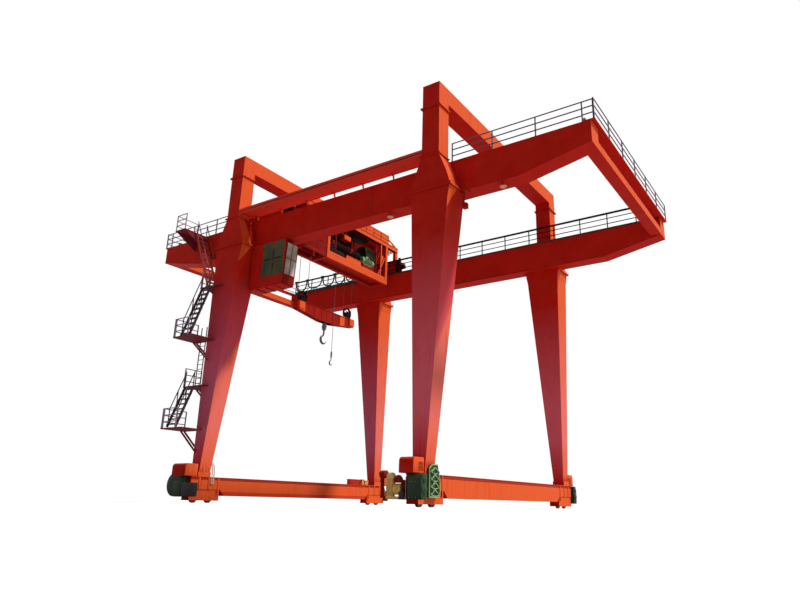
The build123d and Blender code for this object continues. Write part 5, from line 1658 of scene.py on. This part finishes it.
def liftingBeam():
    def parts(shape):
        x, half, middle, length = (lifting[key] for key in ("x", "half", "midY", "halfLength"))
        top = lifting["top"]
        endLow, midLow = top - lifting["endDepth"], top - lifting["midDepth"]
        lower = [(middle - length, endLow), (middle - length * 0.2, midLow), (middle + length * 0.2, midLow),
                 (middle + length, endLow)]
        outline = lower + [(y, z + 0.03) for y, z in reversed(lower)]
        addPrism(shape, outline, "x", x - half - 0.035, x + half + 0.035)
        addBox(shape, (x - half - 0.035, middle - length, top - 0.03),
               (x + half + 0.035, middle + length, top + 0.001))
        for side in (-1, 1):
            for y in (-1.9, -1.27, -0.58, 0.0, 0.58, 1.27, 1.9):
                face = x + side * half
                deep = lifting["midDepth"] - max(0.0, abs(y) - 0.58) / 2.34 * 0.32
                addBox(shape, (min(face, face + side * 0.03), middle + y - 0.012, top - deep + 0.04),
                       (max(face, face + side * 0.03), middle + y + 0.012, top - 0.02))
    makePiece("liftingBeamPlates", "main_hook", "lifting", parts, bevel=0.004)

    def sheaves(shape):
        x, r, z = lifting["x"], lifting["sheaveRadius"], lifting["sheaveZ"]
        for sign in (-1, 1):
            y = lifting["midY"] + sign * lifting["sheaveReach"]
            section = [(-0.055, r * 0.80), (-0.055, r * 0.985), (-0.035, r), (-0.02, r * 0.99),
                       (0.0, r * 0.93), (0.02, r * 0.99), (0.035, r), (0.055, r * 0.985), (0.055, r * 0.80)]
            rings = [ringAt(shape, Vector((x + along, y, z)), Vector((1, 0, 0)), radius, 36)
                     for along, radius in section]
            for first, second in zip(rings, rings[1:] + rings[:1]):
                bridge(shape, first, second)
            addLathe(shape, (x - 0.075, y, z), (1, 0, 0),
                     ((0, 0.07), (0.01, 0.09), (0.14, 0.09), (0.15, 0.07)), 18)
            for spoke in range(lifting["spokes"]):
                turn = 2 * math.pi * spoke / lifting["spokes"]
                way = Vector((0, math.cos(turn), math.sin(turn)))
                addBar(shape, Vector((x, y, z)) + way * 0.06, Vector((x, y, z)) + way * r * 0.84, 0.028, 8)
            for side in (-0.13, 0.11):
                outline = [(y - 0.30, 12.88), (y + 0.30, 12.88), (y + 0.12, z + 0.12), (y - 0.12, z + 0.12)]
                addPrism(shape, outline, "x", x + side, x + side + 0.02)
            addLathe(shape, (x - 0.16, y, z), (1, 0, 0),
                     ((0, 0.04), (0.01, 0.05), (0.31, 0.05), (0.32, 0.04)), 12)
    body = makePiece("beamSheaves", "main_hook", "wound", sheaves)
    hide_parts("sheave_blocks")


liftingBeam()
print("lifting beam and sheaves made")

# Caged ladder at the cab, with its bars to the near girder.
access = {"ladderX": -6.55, "ladderY": -6.80, "ladderLow": 15.30, "ladderHigh": 17.30, "rung": 0.20,
          "half": 0.20, "hoops": 4, "hoopReach": 0.32}


def accessLadders():
    def cage(shape):
        x, y, half = access["ladderX"], access["ladderY"], access["half"]
        for side in (-half, half):
            addBar(shape, (x + side, y, access["ladderLow"]), (x + side, y, access["ladderHigh"]), 0.020, 8)
        for step in range(access["hoops"]):
            z = access["ladderLow"] + 0.35 + step * 0.5
            points = []
            for part in range(9):
                turn = math.pi * part / 8
                points.append(Vector((x - math.cos(turn) * half * 1.2,
                                      y - math.sin(turn) * access["hoopReach"], z)))
            addTube(shape, points, [0.012] * 9, 6, Vector((0, 0, 1)))
        for turn in (0.3, 0.5, 0.7):
            place = (x - math.cos(turn * math.pi) * half * 1.2,
                     y - math.sin(turn * math.pi) * access["hoopReach"])
            addBar(shape, (*place, access["ladderLow"] + 0.35), (*place, access["ladderLow"] + 1.85), 0.009,
                   6)
        for z in (access["ladderLow"] + 0.1, access["ladderHigh"] - 0.25):
            for side in (-half, half):
                addBar(shape, (x + side, y, z), (x + side, -girderOuter + 0.01, z), 0.016, 8)
    makePiece("cabLadder", "crane", "shaded", cage)
    grow("cabLadderRungs", "rows", "crane", "shaded",
         [(access["ladderX"], access["ladderY"], access["ladderLow"] + 0.15)],
         {"Count": 10, "Step": (0, 0, access["rung"]), "Size": (2 * access["half"], 0.024, 0.024)})


accessLadders()
print("ladders made")

# Studio: pale floor, soft key high on the right, dim fill from the front, white behind everything.
studio = {"floorSize": 400.0, "floorColour": (0.52, 0.52, 0.52), "fill": 0.43, "frontFill": 0.155,
          "keyStrength": 3.0, "keyAngle": 5.0, "keyFrom": (0.542, 0.214, 0.813)}


def pureWhite(tree, ray):
    seen = addMath(tree, "MAXIMUM", ray.outputs["Is Camera Ray"], ray.outputs["Is Glossy Ray"])
    return addMath(tree, "MAXIMUM", seen, ray.outputs["Is Transmission Ray"])


def makeFloor():
    half = studio["floorSize"] / 2
    mesh = bpy.data.meshes.new("studioFloor")
    mesh.from_pydata([(-half, -half, 0), (half, -half, 0), (half, half, 0), (-half, half, 0)], [],
                     [(0, 1, 2, 3)])
    floor = bpy.data.objects.new("studioFloor", mesh)
    scene.collection.objects.link(floor)
    material, tree, shader = newMaterial("paleFloor", 0.8, specular=0.1)
    speckle = rangeOf(tree, noiseOf(tree, 0.6, 3.0), 0.3, 0.7, 0.0, 0.05)
    link(tree, mixColour(tree, speckle, studio["floorColour"], (0.46, 0.46, 0.47)),
         shader.inputs["Base Color"])
    glow = addMath(tree, "MULTIPLY", addNode(tree, "ShaderNodeLightPath").outputs["Is Camera Ray"], 0.62)
    shader.inputs["Emission Color"].default_value = (1, 1, 1, 1)
    link(tree, glow, shader.inputs["Emission Strength"])
    mesh.materials.append(material)


def makeLight():
    world = bpy.data.worlds.new("studioWorld")
    scene.world = world
    world.use_nodes = True
    tree = world.node_tree
    background = tree.nodes["Background"]
    background.inputs["Color"].default_value = (1, 1, 1, 1)
    direction = addNode(tree, "ShaderNodeSeparateXYZ")
    link(tree, addNode(tree, "ShaderNodeTexCoord").outputs["Generated"], direction.inputs[0])
    soft = rangeOf(tree, direction.outputs[1], -0.8, 0.3, studio["frontFill"], studio["fill"])
    seen = pureWhite(tree, addNode(tree, "ShaderNodeLightPath"))
    level = addNode(tree, "ShaderNodeMix", data_type="FLOAT")
    link(tree, seen, level.inputs[0])
    link(tree, soft, level.inputs[2])
    level.inputs[3].default_value = 1.0
    link(tree, level.outputs[0], background.inputs["Strength"])
    lamp = bpy.data.lights.new("softKey", "SUN")
    lamp.energy = studio["keyStrength"]
    lamp.angle = math.radians(studio["keyAngle"])
    lamp.color = (1.0, 0.95, 0.88)
    key = bpy.data.objects.new("softKey", lamp)
    key.rotation_euler = Vector(studio["keyFrom"]).to_track_quat("Z", "Y").to_euler()
    scene.collection.objects.link(key)


# The photograph's view: low, from the right and in front, looking up.
view = {"place": (23.332, -32.197, 0.143), "right": (0.8394, 0.54328, 0.01599),
        "up": (0.15517, -0.26772, 0.95092), "ahead": (-0.52089, 0.79572, 0.30903), "lens": 28.951,
        "shift": (-0.0337, -0.0065)}


def makeCamera():
    data = bpy.data.cameras.new("photoView")
    data.sensor_width = 36.0
    data.lens = view["lens"]
    data.shift_x, data.shift_y = view["shift"]
    data.clip_end = 500.0
    camera = bpy.data.objects.new("photoView", data)
    scene.collection.objects.link(camera)
    right, up, ahead = (Vector(view[key]) for key in ("right", "up", "ahead"))
    matrix = camera.matrix_world.copy()
    for row in range(3):
        matrix[row][0], matrix[row][1], matrix[row][2] = right[row], up[row], -ahead[row]
        matrix[row][3] = view["place"][row]
    camera.matrix_world = matrix
    scene.camera = camera


makeFloor()
makeLight()
makeCamera()
scene.view_settings.view_transform = "Standard"
print("studio and camera set")
